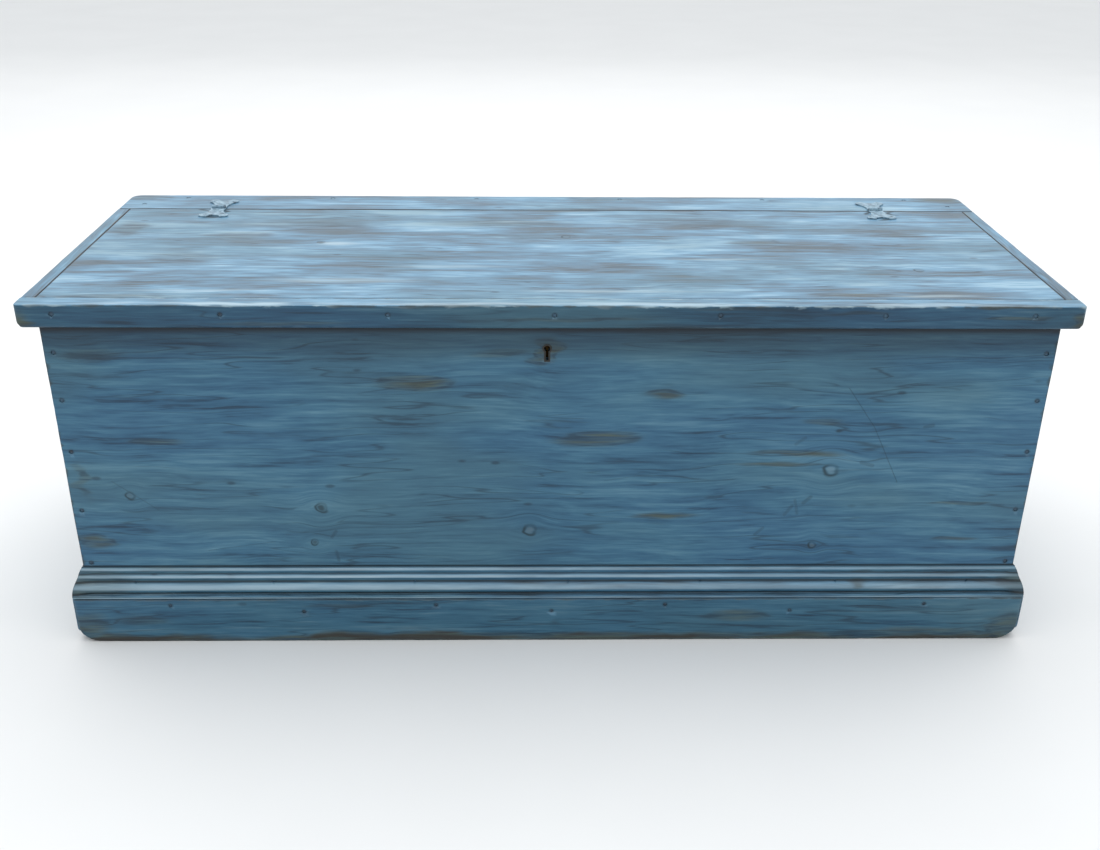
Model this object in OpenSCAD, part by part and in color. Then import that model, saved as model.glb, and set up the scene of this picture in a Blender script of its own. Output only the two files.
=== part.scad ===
// Painted pine blanket chest: a nailed board carcass on a mitred plinth, a flat lid hung from a
// fixed rail at the back, two butterfly hinges and a box lock with a sliding bolt.
// The origin is on the floor under the middle of the chest. The front faces -Y.

/* [Chest] */
// Width over the lid's edging
lid_w = 1160; // [1100:5:1220]
// Depth from the lid's front to the rail's back
lid_d = 448; // [430:2:480]
// Height of the lid's top above the floor
top_z = 437; // [420:1:480]
// Thickness of the front, end and lid boards
board_t = 22; // [20:1:22]

/* [Lid] */
// Thickness of the lid board and of the rail
lid_t = 21; // [20:1:24]
// Depth of the edging, which hangs below the lid board
edging_h = 27; // [26:1:31]
// Thickness of the edging on the sides, and of the lip that hangs in front
edging_t = 16; // [15:1:18]
// Width of the front edging on top
edging_front = 24; // [22:1:28]
// Depth of the fixed rail that carries the hinges
rail_d = 70; // [64:1:84]

/* [Base] */
// Height of the plinth
plinth_h = 60; // [54:1:64]
// Thickness of the plinth
plinth_t = 16; // [15:1:18]
// Height of the moulding on the plinth
moulding_h = 38; // [38:1:42]
// Radius that the plinth's lower front corners are worn to
plinth_corner = 28; // [20:1:32]
// Number of boards in the bottom
bottom_count = 7; // [6:1:8]

/* [Hinges and lock] */
// Distance of each hinge from the middle
hinge_x = 445; // [400:5:470]
// Length of a hinge leaf from the pin
leaf_l = 42; // [38:1:46]
// Width of a leaf at its flared end
leaf_w = 38; // [34:1:40]
// Distance of the keyhole from the middle, to the left
key_off = 7.5; // [-20:0.5:20]
// Travel of the lock's bolt
bolt_travel = 8; // [7:0.5:8]

/* [Hidden] */
$fn = 48;
BOTTOM = [for (i = [1:bottom_count]) str("bottom_board_", i)];

far = 700;                                  // longer than any half of the chest
eps = 0.05;                                 // slack around nails, screws and pins
paint = "#48708a";
paint_light = "#6f94ad";
pine = "#b08a5a";
iron = "#3b3835";
brass = "#9a7b3c";

// carcass
lip_gap = 1;                                // between the lid's lip and the carcass
body_x = lid_w / 2 - edging_t - lip_gap;    // outer face of the end boards
front_y = -lid_d / 2 + edging_t + lip_gap;  // outer face of the front board
back_y = lid_d / 2 - 4;                     // outer face of the back boards
back_t = 20;
rim_z = top_z - lid_t;                      // top of the carcass
bottom_t = 16;
bottom_z = 12;                              // underside of the bottom boards
wall_z = bottom_z + bottom_t;               // underside of the walls
back_seam_z = 223;                          // joint between the two back boards
bottom_step = 2 * (body_x - 3) / bottom_count;
end_mid_x = body_x - board_t / 2;
front_mid_y = front_y + board_t / 2;

// lid and hinges
hinge_y = lid_d / 2 - rail_d - 0.5;         // the pins' axis
lid_back_y = hinge_y - 0.5;
panel_front_y = -lid_d / 2 + edging_front;
panel_x = lid_w / 2 - edging_t;
knuckle_r = 2.7;
pin_r = 1.3;
knuckle_w = 6;
waist_w = 3 * knuckle_w;
leaf_t = 1.5;
notch_r = 10;                               // of the notch in a leaf's flared end
pin_z = top_z + knuckle_r;
knuckle_gap = 0.1;

// lock
key_x = -key_off;
key_z = rim_z - 35.5;                       // middle of the keyhole's round head
key_r = 3.5;
lock_w = 78;
lock_h = 66;
plate_t = 2;
inner_y = front_y + board_t;                // inner face of the front board
case_w = 64;
case_d = 11;
case_h = 54;
case_t = 1.2;
case_back_y = inner_y - plate_t;
case_front_y = case_back_y - case_d;
case_top_z = rim_z - plate_t;
staple_off = 14;                            // each staple from the keyhole's line
staple_y = case_back_y - 4.5;
staple_d = 7;
staple_t = 3;
link_inset = 0.3;                           // the link plate, above the lid's underside
bolt_y = staple_y;
bolt_z = case_top_z - 20;                   // underside of the bolt's bar
finger_z = case_top_z - 6.5;                // middle of the bolt's fingers
finger_gap = 1.2;                           // from a finger's tip to its staple

// lengths of the nails
wall_nail = 50;
floor_nail = 45;
plinth_nail = 35;
brad = 24;
edging_nail = 40;
plinth_head = 2;
brad_head = 1.2;

// where the nails go
wall_nail_z = [45, 103, 175, 252, 317, 375];
back_nail_z = [50, 120, 195, 250, 310, 365];
plinth_nail_x = [-460, -300, -140, 0, 138, 291, 455];
plinth_nail_y = [-150, 10, 165];
moulding_nail_x = [-500, -335, -165, 20, 180, 345, 505];
moulding_nail_y = [-120, 40, 190];
rail_nail_x = [-500, -300, -100, 100, 300, 500];
edging_nail_x = [-540, -360, -180, 0, 180, 360, 524];
edging_nail_y = [-150, -50, 50, 130];

// ---- fasteners: each stands with its head at z = 0 and its point downwards ----

module nail(l, head_r = 2.4, grow = 0) {
    side = head_r * 1.1 + 2 * grow;
    translate([-side / 2, -side / 2, -l - grow]) cube([side, side, l]);
    translate([0, 0, -0.8 - grow]) cylinder(r = head_r + grow, h = 0.8 + 3 * grow);
}

module nail_hole(l, head_r = 2.4) {
    nail(l, head_r, eps);
}

module screw(l, r = 1.5, grow = 0) {
    difference() {
        union() {
            translate([0, 0, -l - grow]) cylinder(r = r + grow, h = l);
            translate([0, 0, -r - grow]) cylinder(r1 = r + grow, r2 = 2 * r + grow, h = r);
            translate([0, 0, -2 * grow]) cylinder(r = 2 * r + grow, h = 4 * grow);
        }
        if (grow == 0) translate([-3 * r, -0.35, -0.6]) cube([6 * r, 0.7, 1]);
    }
}

module screw_hole(l, r = 1.5) {
    screw(l, r, eps);
}

// The children are placed at every fastener of one kind, pointing into the wood.
module at_front_nails() {
    for (side = [-1, 1], z = wall_nail_z)
        translate([side * end_mid_x, front_y, z]) rotate([90, 0, 0]) children();
}

module at_back_nails() {
    for (side = [-1, 1], z = back_nail_z)
        translate([side * end_mid_x, back_y, z]) rotate([-90, 0, 0]) children();
}

module at_bottom_nails() {
    for (i = [0:bottom_count - 1], dx = [-50, 50], y = [front_mid_y, back_y - back_t / 2])
        translate([(i - (bottom_count - 1) / 2) * bottom_step + dx, y, bottom_z])
            rotate([180, 0, 0]) children();
    for (side = [-1, 1], y = [-100, 60, 125])
        translate([side * end_mid_x, y, bottom_z]) rotate([180, 0, 0]) children();
}

module at_plinth_nails() {
    for (i = [0:len(plinth_nail_x) - 1])
        translate([plinth_nail_x[i], front_y - plinth_t, i % 2 == 0 ? 52 : 43])
            rotate([90, 0, 0]) children();
    for (side = [-1, 1], y = plinth_nail_y)
        translate([side * (body_x + plinth_t), y, 46]) rotate([0, side * 90, 0]) children();
}

module at_moulding_nails() {
    z = plinth_h + 19.5;
    for (x = moulding_nail_x)
        translate([x, front_y - 6, z]) rotate([90, 0, 0]) children();
    for (side = [-1, 1], y = moulding_nail_y)
        translate([side * (body_x + 6), y, z]) rotate([0, side * 90, 0]) children();
}

module at_rail_nails() {
    for (x = rail_nail_x) translate([x, back_y - back_t / 2, top_z]) children();
    for (side = [-1, 1]) translate([side * end_mid_x, back_y - 42, top_z]) children();
}

module at_edging_nails() {
    z = rim_z + 10;
    for (x = edging_nail_x)
        translate([x, -lid_d / 2, z]) rotate([90, 0, 0]) children();
    for (side = [-1, 1], y = edging_nail_y)
        translate([side * lid_w / 2, y, z]) rotate([0, side * 90, 0]) children();
}

module at_leaf_screws(side) {                // side -1 is the lid's leaf, 1 the rail's
    for (p = [[0, 15], [-13, 31.5], [13, 31.5]])
        translate([p[0], hinge_y + side * p[1], top_z + leaf_t]) children();
}

module at_both_hinges() {
    for (x = [-hinge_x, hinge_x]) translate([x, 0, 0]) children();
}

module at_lock_screws() {
    for (dx = [-1, 1], z = [rim_z - 12, rim_z - 60])
        translate([key_x + dx * (lock_w / 2 - 3.5), inner_y, z]) rotate([-90, 0, 0]) children();
}

module at_link_screws() {
    for (dx = [-24, 24])
        translate([key_x + dx, staple_y, rim_z + link_inset]) rotate([180, 0, 0]) children();
}

// ---- plain outlines ----

// A rectangle from x = -w to w and from y = 0 up to h, with its two lower corners rounded.
module round_foot(w, h, r) {
    translate([-w, r]) square([2 * w, h - r]);
    translate([-w + r, 0]) square([2 * (w - r), h]);
    for (side = [-1, 1]) translate([side * (w - r), r]) circle(r);
}

module moulding_profile() {
    intersection() {
        square([20, moulding_h]);
        union() {
            square([14, 3.6]);
            square([6, 22]);
            translate([6, 11.8]) circle(6.5);
            square([3.4, 30]);
            translate([3.8, 24.6]) circle(3);
            translate([1.2, 32.6]) circle(3);
            square([1.5, moulding_h]);
        }
    }
}

// Wedges that cut a strip at 45 degrees on the carcass's front corners.
module front_mitre() {
    reach = 40;
    linear_extrude(2 * far, center = true)
        polygon([[-body_x, front_y], [body_x, front_y],
                 [body_x + reach, front_y - reach], [-body_x - reach, front_y - reach]]);
}

module side_mitre() {
    reach = 40;
    linear_extrude(2 * far, center = true)
        polygon([[body_x, front_y], [body_x + reach, front_y - reach],
                 [body_x + reach, back_y], [body_x, back_y]]);
}

module keyhole_outline(grow = 0) {
    circle(key_r + grow);
    translate([-1.5 - grow, -14 - grow]) square([3 + 2 * grow, 14]);
}

// ---- carcass ----

module front_board() {
    color(paint) difference() {
        translate([-body_x, front_y, wall_z]) cube([2 * body_x, board_t, rim_z - wall_z]);
        at_front_nails() nail_hole(wall_nail);
        at_bottom_nails() nail_hole(floor_nail);
        at_plinth_nails() nail_hole(plinth_nail, plinth_head);
        at_moulding_nails() nail_hole(brad, brad_head);
        escutcheon_seat();
        lock_mortice();
        at_lock_screws() screw_hole(11);
    }
}

module escutcheon_seat() {
    translate([key_x, inner_y, key_z]) rotate([90, 0, 0])
        linear_extrude(board_t + 1) keyhole_outline();
    translate([key_x, front_y + 3, key_z]) rotate([90, 0, 0])
        linear_extrude(4) keyhole_outline(2);
}

module lock_mortice() {
    slack = 0.2;
    translate([key_x - lock_w / 2 - slack, case_back_y - slack, rim_z - lock_h - slack])
        cube([lock_w + 2 * slack, plate_t + 1, lock_h + 5]);
    translate([key_x - lock_w / 2 - slack, case_front_y - slack, case_top_z])
        cube([lock_w + 2 * slack, 20, plate_t + 1]);
    translate([key_x - case_w / 2 - slack, case_front_y - slack, case_top_z - case_h - slack])
        cube([case_w + 2 * slack, 20, case_h + 1]);
}

module back_board(z0, z1) {
    color(pine) difference() {
        translate([-body_x, back_y - back_t, z0]) cube([2 * body_x, back_t, z1 - z0]);
        at_back_nails() nail_hole(wall_nail);
        at_bottom_nails() nail_hole(floor_nail);
        at_rail_nails() nail_hole(wall_nail);
    }
}

module end_board(side) {
    color(paint) difference() {
        translate([side < 0 ? -body_x : body_x - board_t, inner_y, wall_z])
            cube([board_t, back_y - back_t - inner_y, rim_z - wall_z]);
        at_front_nails() nail_hole(wall_nail);
        at_back_nails() nail_hole(wall_nail);
        at_bottom_nails() nail_hole(floor_nail);
        at_plinth_nails() nail_hole(plinth_nail, plinth_head);
        at_moulding_nails() nail_hole(brad, brad_head);
        at_rail_nails() nail_hole(wall_nail);
    }
}

module bottom_board(i) {
    gap = 1;
    x0 = (i - 1 - bottom_count / 2) * bottom_step;
    color(pine) difference() {
        translate([x0 + gap / 2, front_y + 2, bottom_z])
            cube([bottom_step - gap, back_y - front_y - 4, bottom_t]);
        at_bottom_nails() nail_hole(floor_nail);
    }
}

module plinth_block() {
    round_plan = 6;
    intersection() {
        translate([0, front_y - plinth_t, -1])
            linear_extrude(far) round_foot(body_x + plinth_t, far, round_plan);
        translate([-far, -far, 0]) cube([2 * far, 2 * far, plinth_h]);
    }
}

module plinth_front() {
    color(paint) difference() {
        intersection() {
            plinth_block();
            front_mitre();
            translate([0, front_y + 1, 0]) rotate([90, 0, 0])
                linear_extrude(60) round_foot(body_x + plinth_t, plinth_h, plinth_corner);
        }
        at_plinth_nails() nail_hole(plinth_nail, plinth_head);
    }
}

module plinth_side() {
    color(paint) difference() {
        intersection() {
            plinth_block();
            side_mitre();
            translate([body_x - 1, far + front_y - plinth_t, 0]) rotate([90, 0, 90])
                linear_extrude(60) round_foot(far, plinth_h, plinth_corner);
        }
        at_plinth_nails() nail_hole(plinth_nail, plinth_head);
    }
}

module moulding_front() {
    color(paint_light) difference() {
        intersection() {
            translate([-far, front_y, plinth_h]) rotate([90, 0, 90])
                linear_extrude(2 * far) mirror([1, 0]) moulding_profile();
            front_mitre();
        }
        at_moulding_nails() nail_hole(brad, brad_head);
    }
}

module moulding_side() {
    color(paint_light) difference() {
        intersection() {
            translate([body_x, back_y, plinth_h]) rotate([90, 0, 0])
                linear_extrude(far) moulding_profile();
            side_mitre();
        }
        at_moulding_nails() nail_hole(brad, brad_head);
    }
}

module hinge_rail() {
    corner_r = 14;
    color(paint_light) difference() {
        translate([0, lid_d / 2, rim_z]) mirror([0, 1, 0])
            linear_extrude(lid_t) round_foot(lid_w / 2, rail_d, corner_r);
        at_rail_nails() nail_hole(wall_nail);
        at_both_hinges() at_leaf_screws(1) screw_hole(15);
    }
}

// ---- lock ----

module escutcheon() {
    color(brass) translate([key_x, front_y + 3, key_z]) rotate([90, 0, 0])
        linear_extrude(3) difference() {
            keyhole_outline(1.9);
            keyhole_outline();
        }
}

module lock_plate() {
    slot = [staple_t + 3, staple_d + 3];
    color(brass) difference() {
        union() {
            translate([key_x - lock_w / 2, case_back_y, rim_z - lock_h])
                cube([lock_w, plate_t, lock_h]);
            translate([key_x - lock_w / 2, case_front_y, case_top_z])
                cube([lock_w, case_d + plate_t, plate_t]);
        }
        for (side = [-1, 1])
            translate([key_x + side * staple_off - slot[0] / 2, staple_y - slot[1] / 2 - 0.5,
                       case_top_z - 1])
                cube([slot[0], slot[1], plate_t + 2]);
        at_lock_screws() screw_hole(11);
        translate([key_x, inner_y + 1, key_z]) rotate([90, 0, 0])
            cylinder(r = 1.5 + eps, h = plate_t + 2);
    }
}

module lock_case() {
    color(iron) difference() {
        translate([key_x - case_w / 2, case_front_y, case_top_z - case_h])
            cube([case_w, case_d, case_h]);
        translate([key_x - case_w / 2 + case_t, case_front_y + case_t, case_top_z - case_h + case_t])
            cube([case_w - 2 * case_t, case_d, case_h]);
        translate([key_x, case_back_y, key_z]) rotate([90, 0, 0])
            linear_extrude(2 * case_d) keyhole_outline();
    }
}

module lock_drill_pin() {
    color(iron) translate([key_x, inner_y - 0.2, key_z]) rotate([90, 0, 0])
        cylinder(r = 1.5, h = plate_t + case_d - 2);
}

// A bent strip, held on the case's right wall, that bears up under the bolt.
module lock_spring() {
    strip = 0.6;
    wall_x = key_x + case_w / 2 - case_t;
    run = 18;
    color(iron) translate([wall_x, bolt_y - 2, bolt_z - 12]) {
        translate([-run, 0, 0]) cube([run, 4, strip]);
        translate([-run, 0, 0]) cube([strip, 4, 11.6]);
        translate([-1, 0, -3]) cube([1, 4, 6]);
    }
}

module lock_screws() {
    color(brass) at_lock_screws() screw(11);
}

// The bar slides to the right, and its two fingers then pass through the staples' eyes.
module lock_bolt() {
    bar_h = 7;
    bolt_t = 3;
    post_w = 3;
    finger_l = bolt_travel;
    finger_h = 3.6;
    notch_w = 8;
    tip = staple_off - staple_t / 2 - finger_gap;
    left = -staple_off - staple_t / 2 - finger_gap - finger_l - post_w;
    color(brass) translate([key_x, bolt_y - bolt_t / 2, bolt_z]) {
        difference() {
            translate([left, 0, 0]) cube([tip - left + 5, bolt_t, bar_h]);
            translate([-notch_w / 2, -1, -1]) cube([notch_w, bolt_t + 2, 3.5]);
        }
        for (side = [-1, 1]) {
            x = side * staple_off - staple_t / 2 - finger_gap - finger_l;
            top = finger_z - bolt_z + finger_h / 2;
            translate([x - post_w, 0, bar_h - 1]) cube([post_w, bolt_t, top - bar_h + 1]);
            translate([x - post_w, 0, top - finger_h])
                cube([finger_l + post_w, bolt_t, finger_h]);
        }
    }
}

// ---- hinges ----

module leaf_outline() {
    intersection() {
        difference() {
            translate([-leaf_w / 2, knuckle_r + 0.5]) square([leaf_w, leaf_l]);
            for (side = [-1, 1])
                translate([side * (waist_w / 2 + 27), 10]) circle(27);
            translate([0, leaf_l + 2]) circle(notch_r);
        }
        translate([0, 2]) circle(leaf_l - 2);
    }
}

// A leaf lies towards +Y of the pin; knuckles lists the middle of each of its knuckles.
module hinge_leaf(knuckles) {
    width = knuckle_w - 2 * knuckle_gap;
    difference() {
        union() {
            linear_extrude(leaf_t) leaf_outline();
            for (x = knuckles) {
                translate([x - width / 2, 0, 0]) cube([width, knuckle_r + 1.5, leaf_t]);
                translate([x - width / 2, 0, knuckle_r]) rotate([0, 90, 0])
                    cylinder(r = knuckle_r, h = width);
            }
        }
        translate([-far / 2, 0, knuckle_r]) rotate([0, 90, 0]) cylinder(r = pin_r + eps, h = far);
        translate([0, -hinge_y, -top_z]) at_leaf_screws(1) screw_hole(15);
    }
}

module hinge_leaf_rail(side) {
    color(paint_light) translate([side * hinge_x, hinge_y, top_z])
        hinge_leaf([-knuckle_w, knuckle_w]);
}

module hinge_leaf_lid(side) {
    color(paint_light) translate([side * hinge_x, hinge_y, top_z]) mirror([0, 1, 0])
        hinge_leaf([0]);
}

module hinge_pin(side) {
    color(iron) translate([side * hinge_x - waist_w / 2, hinge_y, pin_z]) rotate([0, 90, 0])
        cylinder(r = pin_r, h = waist_w);
}

// ---- lid ----

module lid_board() {
    color(paint_light) difference() {
        translate([-panel_x, panel_front_y, rim_z])
            cube([2 * panel_x, lid_back_y - panel_front_y, lid_t]);
        at_edging_nails() nail_hole(edging_nail);
        at_both_hinges() at_leaf_screws(-1) screw_hole(15);
        translate([key_x - 31, staple_y - 7, rim_z - 1]) cube([62, 14, 3]);
        at_link_screws() screw_hole(12);
    }
}

// Section of the edging: x runs outwards from the lip's inner face, y up from the lip's edge.
module edging_profile() {
    top_r = 3;
    low_r = 4;
    translate([-edging_t, low_r]) square([2 * edging_t - top_r, edging_h - low_r]);
    square([edging_t - low_r, edging_h]);
    translate([0, low_r]) square([edging_t, edging_h - low_r - top_r]);
    translate([edging_t - low_r, low_r]) circle(low_r);
    translate([edging_t - top_r, edging_h - top_r]) circle(top_r);
}

module lid_edging_front() {
    corner_r = 4;
    color(paint_light) difference() {
        intersection() {
            translate([-far, -lid_d / 2 + edging_t, top_z - edging_h]) rotate([90, 0, 90])
                linear_extrude(2 * far) mirror([1, 0]) edging_profile();
            translate([0, -lid_d / 2, 0])
                linear_extrude(far) round_foot(lid_w / 2, edging_front, corner_r);
        }
        translate([-far, -lid_d / 2 + edging_t, 0]) cube([2 * far, 20, rim_z]);
        at_edging_nails() nail_hole(edging_nail);
    }
}

module lid_edging_side() {
    color(paint_light) difference() {
        intersection() {
            translate([lid_w / 2 - edging_t, far, top_z - edging_h]) rotate([90, 0, 0])
                linear_extrude(2 * far) edging_profile();
            translate([panel_x, panel_front_y, 0])
                cube([edging_t, lid_back_y - panel_front_y, far]);
        }
        at_edging_nails() nail_hole(edging_nail);
    }
}

module link_plate() {
    drop = 13.5;
    eye = [5, 6];
    color(brass) difference() {
        union() {
            translate([key_x - 30, staple_y - 6, rim_z + link_inset]) cube([60, 12, 1.5]);
            for (side = [-1, 1])
                translate([key_x + side * staple_off - staple_t / 2, staple_y - staple_d / 2,
                           rim_z + link_inset - drop])
                    cube([staple_t, staple_d, drop + 0.5]);
        }
        translate([-far, staple_y - eye[0] / 2, finger_z - eye[1] / 2])
            cube([2 * far, eye[0], eye[1]]);
        at_link_screws() screw_hole(12);
    }
}

// ---- what is drawn ----

front_board();
back_board(back_seam_z + 1, rim_z);  // back_board_upper
back_board(wall_z, back_seam_z);  // back_board_lower
end_board(-1);  // end_board_left
end_board(1);  // end_board_right
for (i = [1:bottom_count])
    bottom_board(i);
plinth_front();
mirror([1, 0, 0]) plinth_side();  // plinth_left
plinth_side();  // plinth_right
moulding_front();
mirror([1, 0, 0]) moulding_side();  // moulding_left
moulding_side();  // moulding_right
hinge_rail();
color(iron) at_front_nails() nail(wall_nail);  // front_nails
color(iron) at_back_nails() nail(wall_nail);  // back_nails
color(iron) at_bottom_nails() nail(floor_nail);  // bottom_nails
color(iron) at_plinth_nails() nail(plinth_nail, plinth_head);  // plinth_nails
color(iron) at_moulding_nails() nail(brad, brad_head);  // moulding_nails
color(iron) at_rail_nails() nail(wall_nail);  // rail_nails
escutcheon();
lock_plate();
lock_case();
lock_spring();
lock_drill_pin();
lock_screws();
hinge_leaf_rail(-1);  // hinge_leaf_rail_left
hinge_leaf_rail(1);  // hinge_leaf_rail_right
hinge_pin(-1);  // hinge_pin_left
hinge_pin(1);  // hinge_pin_right
color(iron) at_both_hinges() at_leaf_screws(1) screw(15);  // hinge_screws_rail
lock_bolt();
lid_board();
lid_edging_front();
mirror([1, 0, 0]) lid_edging_side();  // lid_edging_left
lid_edging_side();  // lid_edging_right
color(iron) at_edging_nails() nail(edging_nail);  // lid_nails
hinge_leaf_lid(-1);  // hinge_leaf_lid_left
hinge_leaf_lid(1);  // hinge_leaf_lid_right
color(iron) at_both_hinges() at_leaf_screws(-1) screw(15);  // hinge_screws_lid
link_plate();
color(iron) at_link_screws() screw(12);  // link_plate_screws
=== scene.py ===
"""Painted pine blanket chest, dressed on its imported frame.

The frame gives every size and place. This script builds the worn boards, the plinth and its
moulding, the painted-over butterfly hinges, the box lock and the nails and screws, and gives each
of them its finish. Lengths are in metres, the front faces -Y and the floor is at z = 0.
"""

import logging
import math
from contextlib import contextmanager
from dataclasses import dataclass, field, replace
from enum import Enum
from typing import Any, Callable, Iterable, Iterator, Optional, Sequence, Union

import bmesh
import bpy
import numpy as np
from bpy.types import ID, Material, Node, NodeSocket, NodeTree, Object
from mathutils import Matrix, Vector


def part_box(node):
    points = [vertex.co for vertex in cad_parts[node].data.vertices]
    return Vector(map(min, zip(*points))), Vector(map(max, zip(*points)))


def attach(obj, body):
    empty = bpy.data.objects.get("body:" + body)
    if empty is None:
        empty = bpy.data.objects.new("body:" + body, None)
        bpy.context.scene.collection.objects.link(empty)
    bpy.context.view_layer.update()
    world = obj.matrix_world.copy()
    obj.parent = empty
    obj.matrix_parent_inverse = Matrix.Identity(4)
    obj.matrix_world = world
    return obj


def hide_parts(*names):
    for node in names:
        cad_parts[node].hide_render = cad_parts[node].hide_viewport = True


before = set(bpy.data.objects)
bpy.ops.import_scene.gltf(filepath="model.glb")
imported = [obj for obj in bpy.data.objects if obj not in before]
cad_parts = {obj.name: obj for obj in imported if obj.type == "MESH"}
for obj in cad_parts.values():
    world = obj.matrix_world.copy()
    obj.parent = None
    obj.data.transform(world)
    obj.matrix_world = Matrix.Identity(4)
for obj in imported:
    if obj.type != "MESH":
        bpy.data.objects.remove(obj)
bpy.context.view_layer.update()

log = logging.getLogger("chest")
MM = 0.001
THROUGH = 20 * MM
Pair = tuple[float, float]
Triple = tuple[float, float, float]
Colour = tuple[float, float, float, float]


def srgb(red: int, green: int, blue: int) -> Colour:
    """Turns a colour given as 0 to 255 on a screen into scene values.

    Args:
        red: The red part.
        green: The green part.
        blue: The blue part.

    Returns:
        The colour with full alpha.
    """
    parts = [part / 255 for part in (red, green, blue)]
    straight = [p / 12.92 if p < 0.04045 else ((p + 0.055) / 1.055) ** 2.4 for p in parts]
    return straight[0], straight[1], straight[2], 1.0


class Axis(Enum):
    """The direction that a board's grain runs in."""

    X = 0
    Y = 1
    Z = 2


# ------------------------ nodes and their sums


class Val:
    """A socket of a node tree that takes part in ordinary sums."""

    def __init__(self, shop: "NodeShop", socket: NodeSocket) -> None:
        """Keeps the socket and the shop that its sums are made in."""
        self.shop = shop
        self.socket = socket

    def __add__(self, other: "Number") -> "Val":
        """self + other."""
        return self.shop.math("ADD", self, other)

    def __radd__(self, other: "Number") -> "Val":
        """other + self."""
        return self.shop.math("ADD", other, self)

    def __sub__(self, other: "Number") -> "Val":
        """self - other."""
        return self.shop.math("SUBTRACT", self, other)

    def __rsub__(self, other: "Number") -> "Val":
        """other - self."""
        return self.shop.math("SUBTRACT", other, self)

    def __mul__(self, other: "Number") -> "Val":
        """self * other."""
        return self.shop.math("MULTIPLY", self, other)

    def __rmul__(self, other: "Number") -> "Val":
        """other * self."""
        return self.shop.math("MULTIPLY", other, self)

    def __truediv__(self, other: "Number") -> "Val":
        """self / other."""
        return self.shop.math("DIVIDE", self, other)

    def __abs__(self) -> "Val":
        """The size of self without its sign."""
        return self.shop.math("ABSOLUTE", self)

    def lower(self, other: "Number") -> "Val":
        """The lower of self and other."""
        return self.shop.math("MINIMUM", self, other)

    def higher(self, other: "Number") -> "Val":
        """The higher of self and other."""
        return self.shop.math("MAXIMUM", self, other)

    def above(self, start: "Number", end: "Number") -> "Val":
        """Rises smoothly from 0 at start to 1 at end."""
        return self.shop.val("ShaderNodeMapRange", {"interpolation_type": "SMOOTHSTEP"},
                             {"Value": self, "From Min": start, "From Max": end}, "Result")

    def below(self, start: "Number", end: "Number") -> "Val":
        """Falls smoothly from 1 at start to 0 at end."""
        return 1 - self.above(start, end)


Number = Union[float, Val]
Stops = tuple[tuple[float, Colour], ...]
Settings = Optional[dict[str, Any]]
Values = Optional[dict[Union[str, int], Any]]


class NodeShop:
    """Makes the nodes of one tree."""

    def __init__(self, tree: NodeTree) -> None:
        """Keeps the tree."""
        self.tree = tree

    def node(self, kind: str, settings: Settings = None, values: Values = None) -> Node:
        """Makes any node.

        Args:
            kind: The node's type.
            settings: Its properties, set first. "stops" fills a ramp with (place, colour) pairs,
                "curve" a float curve with its points, and "keeps" names the numbers that a
                capture node stores.
            values: A number, colour or Val for each named or numbered input.

        Returns:
            The node.
        """
        made = self.tree.nodes.new(kind)
        for key, value in (settings or {}).items():
            if key == "stops":
                ramp = made.color_ramp.elements
                while len(ramp) < len(value):
                    ramp.new(0.5)
                for stop, (place, colour) in zip(ramp, value):
                    stop.position, stop.color = place, colour
            elif key == "curve":
                points = made.mapping.curves[0].points
                points[0].location, points[-1].location = value[0], value[-1]
                for place in value[1:-1]:
                    points.new(*place)
                made.mapping.update()
            elif key == "keeps":
                for name in value:
                    made.capture_items.new("FLOAT", name)
            else:
                setattr(made, key, value)
        for key, value in (values or {}).items():
            if isinstance(value, Val):
                self.tree.links.new(value.socket, made.inputs[key])
            else:
                made.inputs[key].default_value = value
        return made

    def val(self, kind: str, settings: Settings = None, values: Values = None,
            out: Union[str, int] = 0) -> Val:
        """Makes any node and gives one of its outputs."""
        return Val(self, self.node(kind, settings, values).outputs[out])

    def math(self, operation: str, *parts: Number) -> Val:
        """One Math node on up to three numbers."""
        return self.val("ShaderNodeMath", {"operation": operation}, dict(enumerate(parts)))

    def vector(self, operation: str, *parts: Union[Val, Triple]) -> Val:
        """One Vector Math node; DOT_PRODUCT and LENGTH give a number."""
        out = "Value" if operation in ("DOT_PRODUCT", "LENGTH") else "Vector"
        return self.val("ShaderNodeVectorMath", {"operation": operation},
                        dict(enumerate(parts)), out)

    def stretch(self, place: Union[Val, Triple], number: Number) -> Val:
        """A place or direction times one number."""
        return self.val("ShaderNodeVectorMath", {"operation": "SCALE"},
                        {"Vector": place, "Scale": number}, "Vector")

    def split(self, place: Val) -> tuple[Val, Val, Val]:
        """A place as its three numbers."""
        made = self.node("ShaderNodeSeparateXYZ", None, {0: place})
        return tuple(Val(self, out) for out in made.outputs)

    def join(self, x: Number, y: Number, z: Number) -> Val:
        """Three numbers as a place."""
        return self.val("ShaderNodeCombineXYZ", None, {0: x, 1: y, 2: z})


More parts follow.
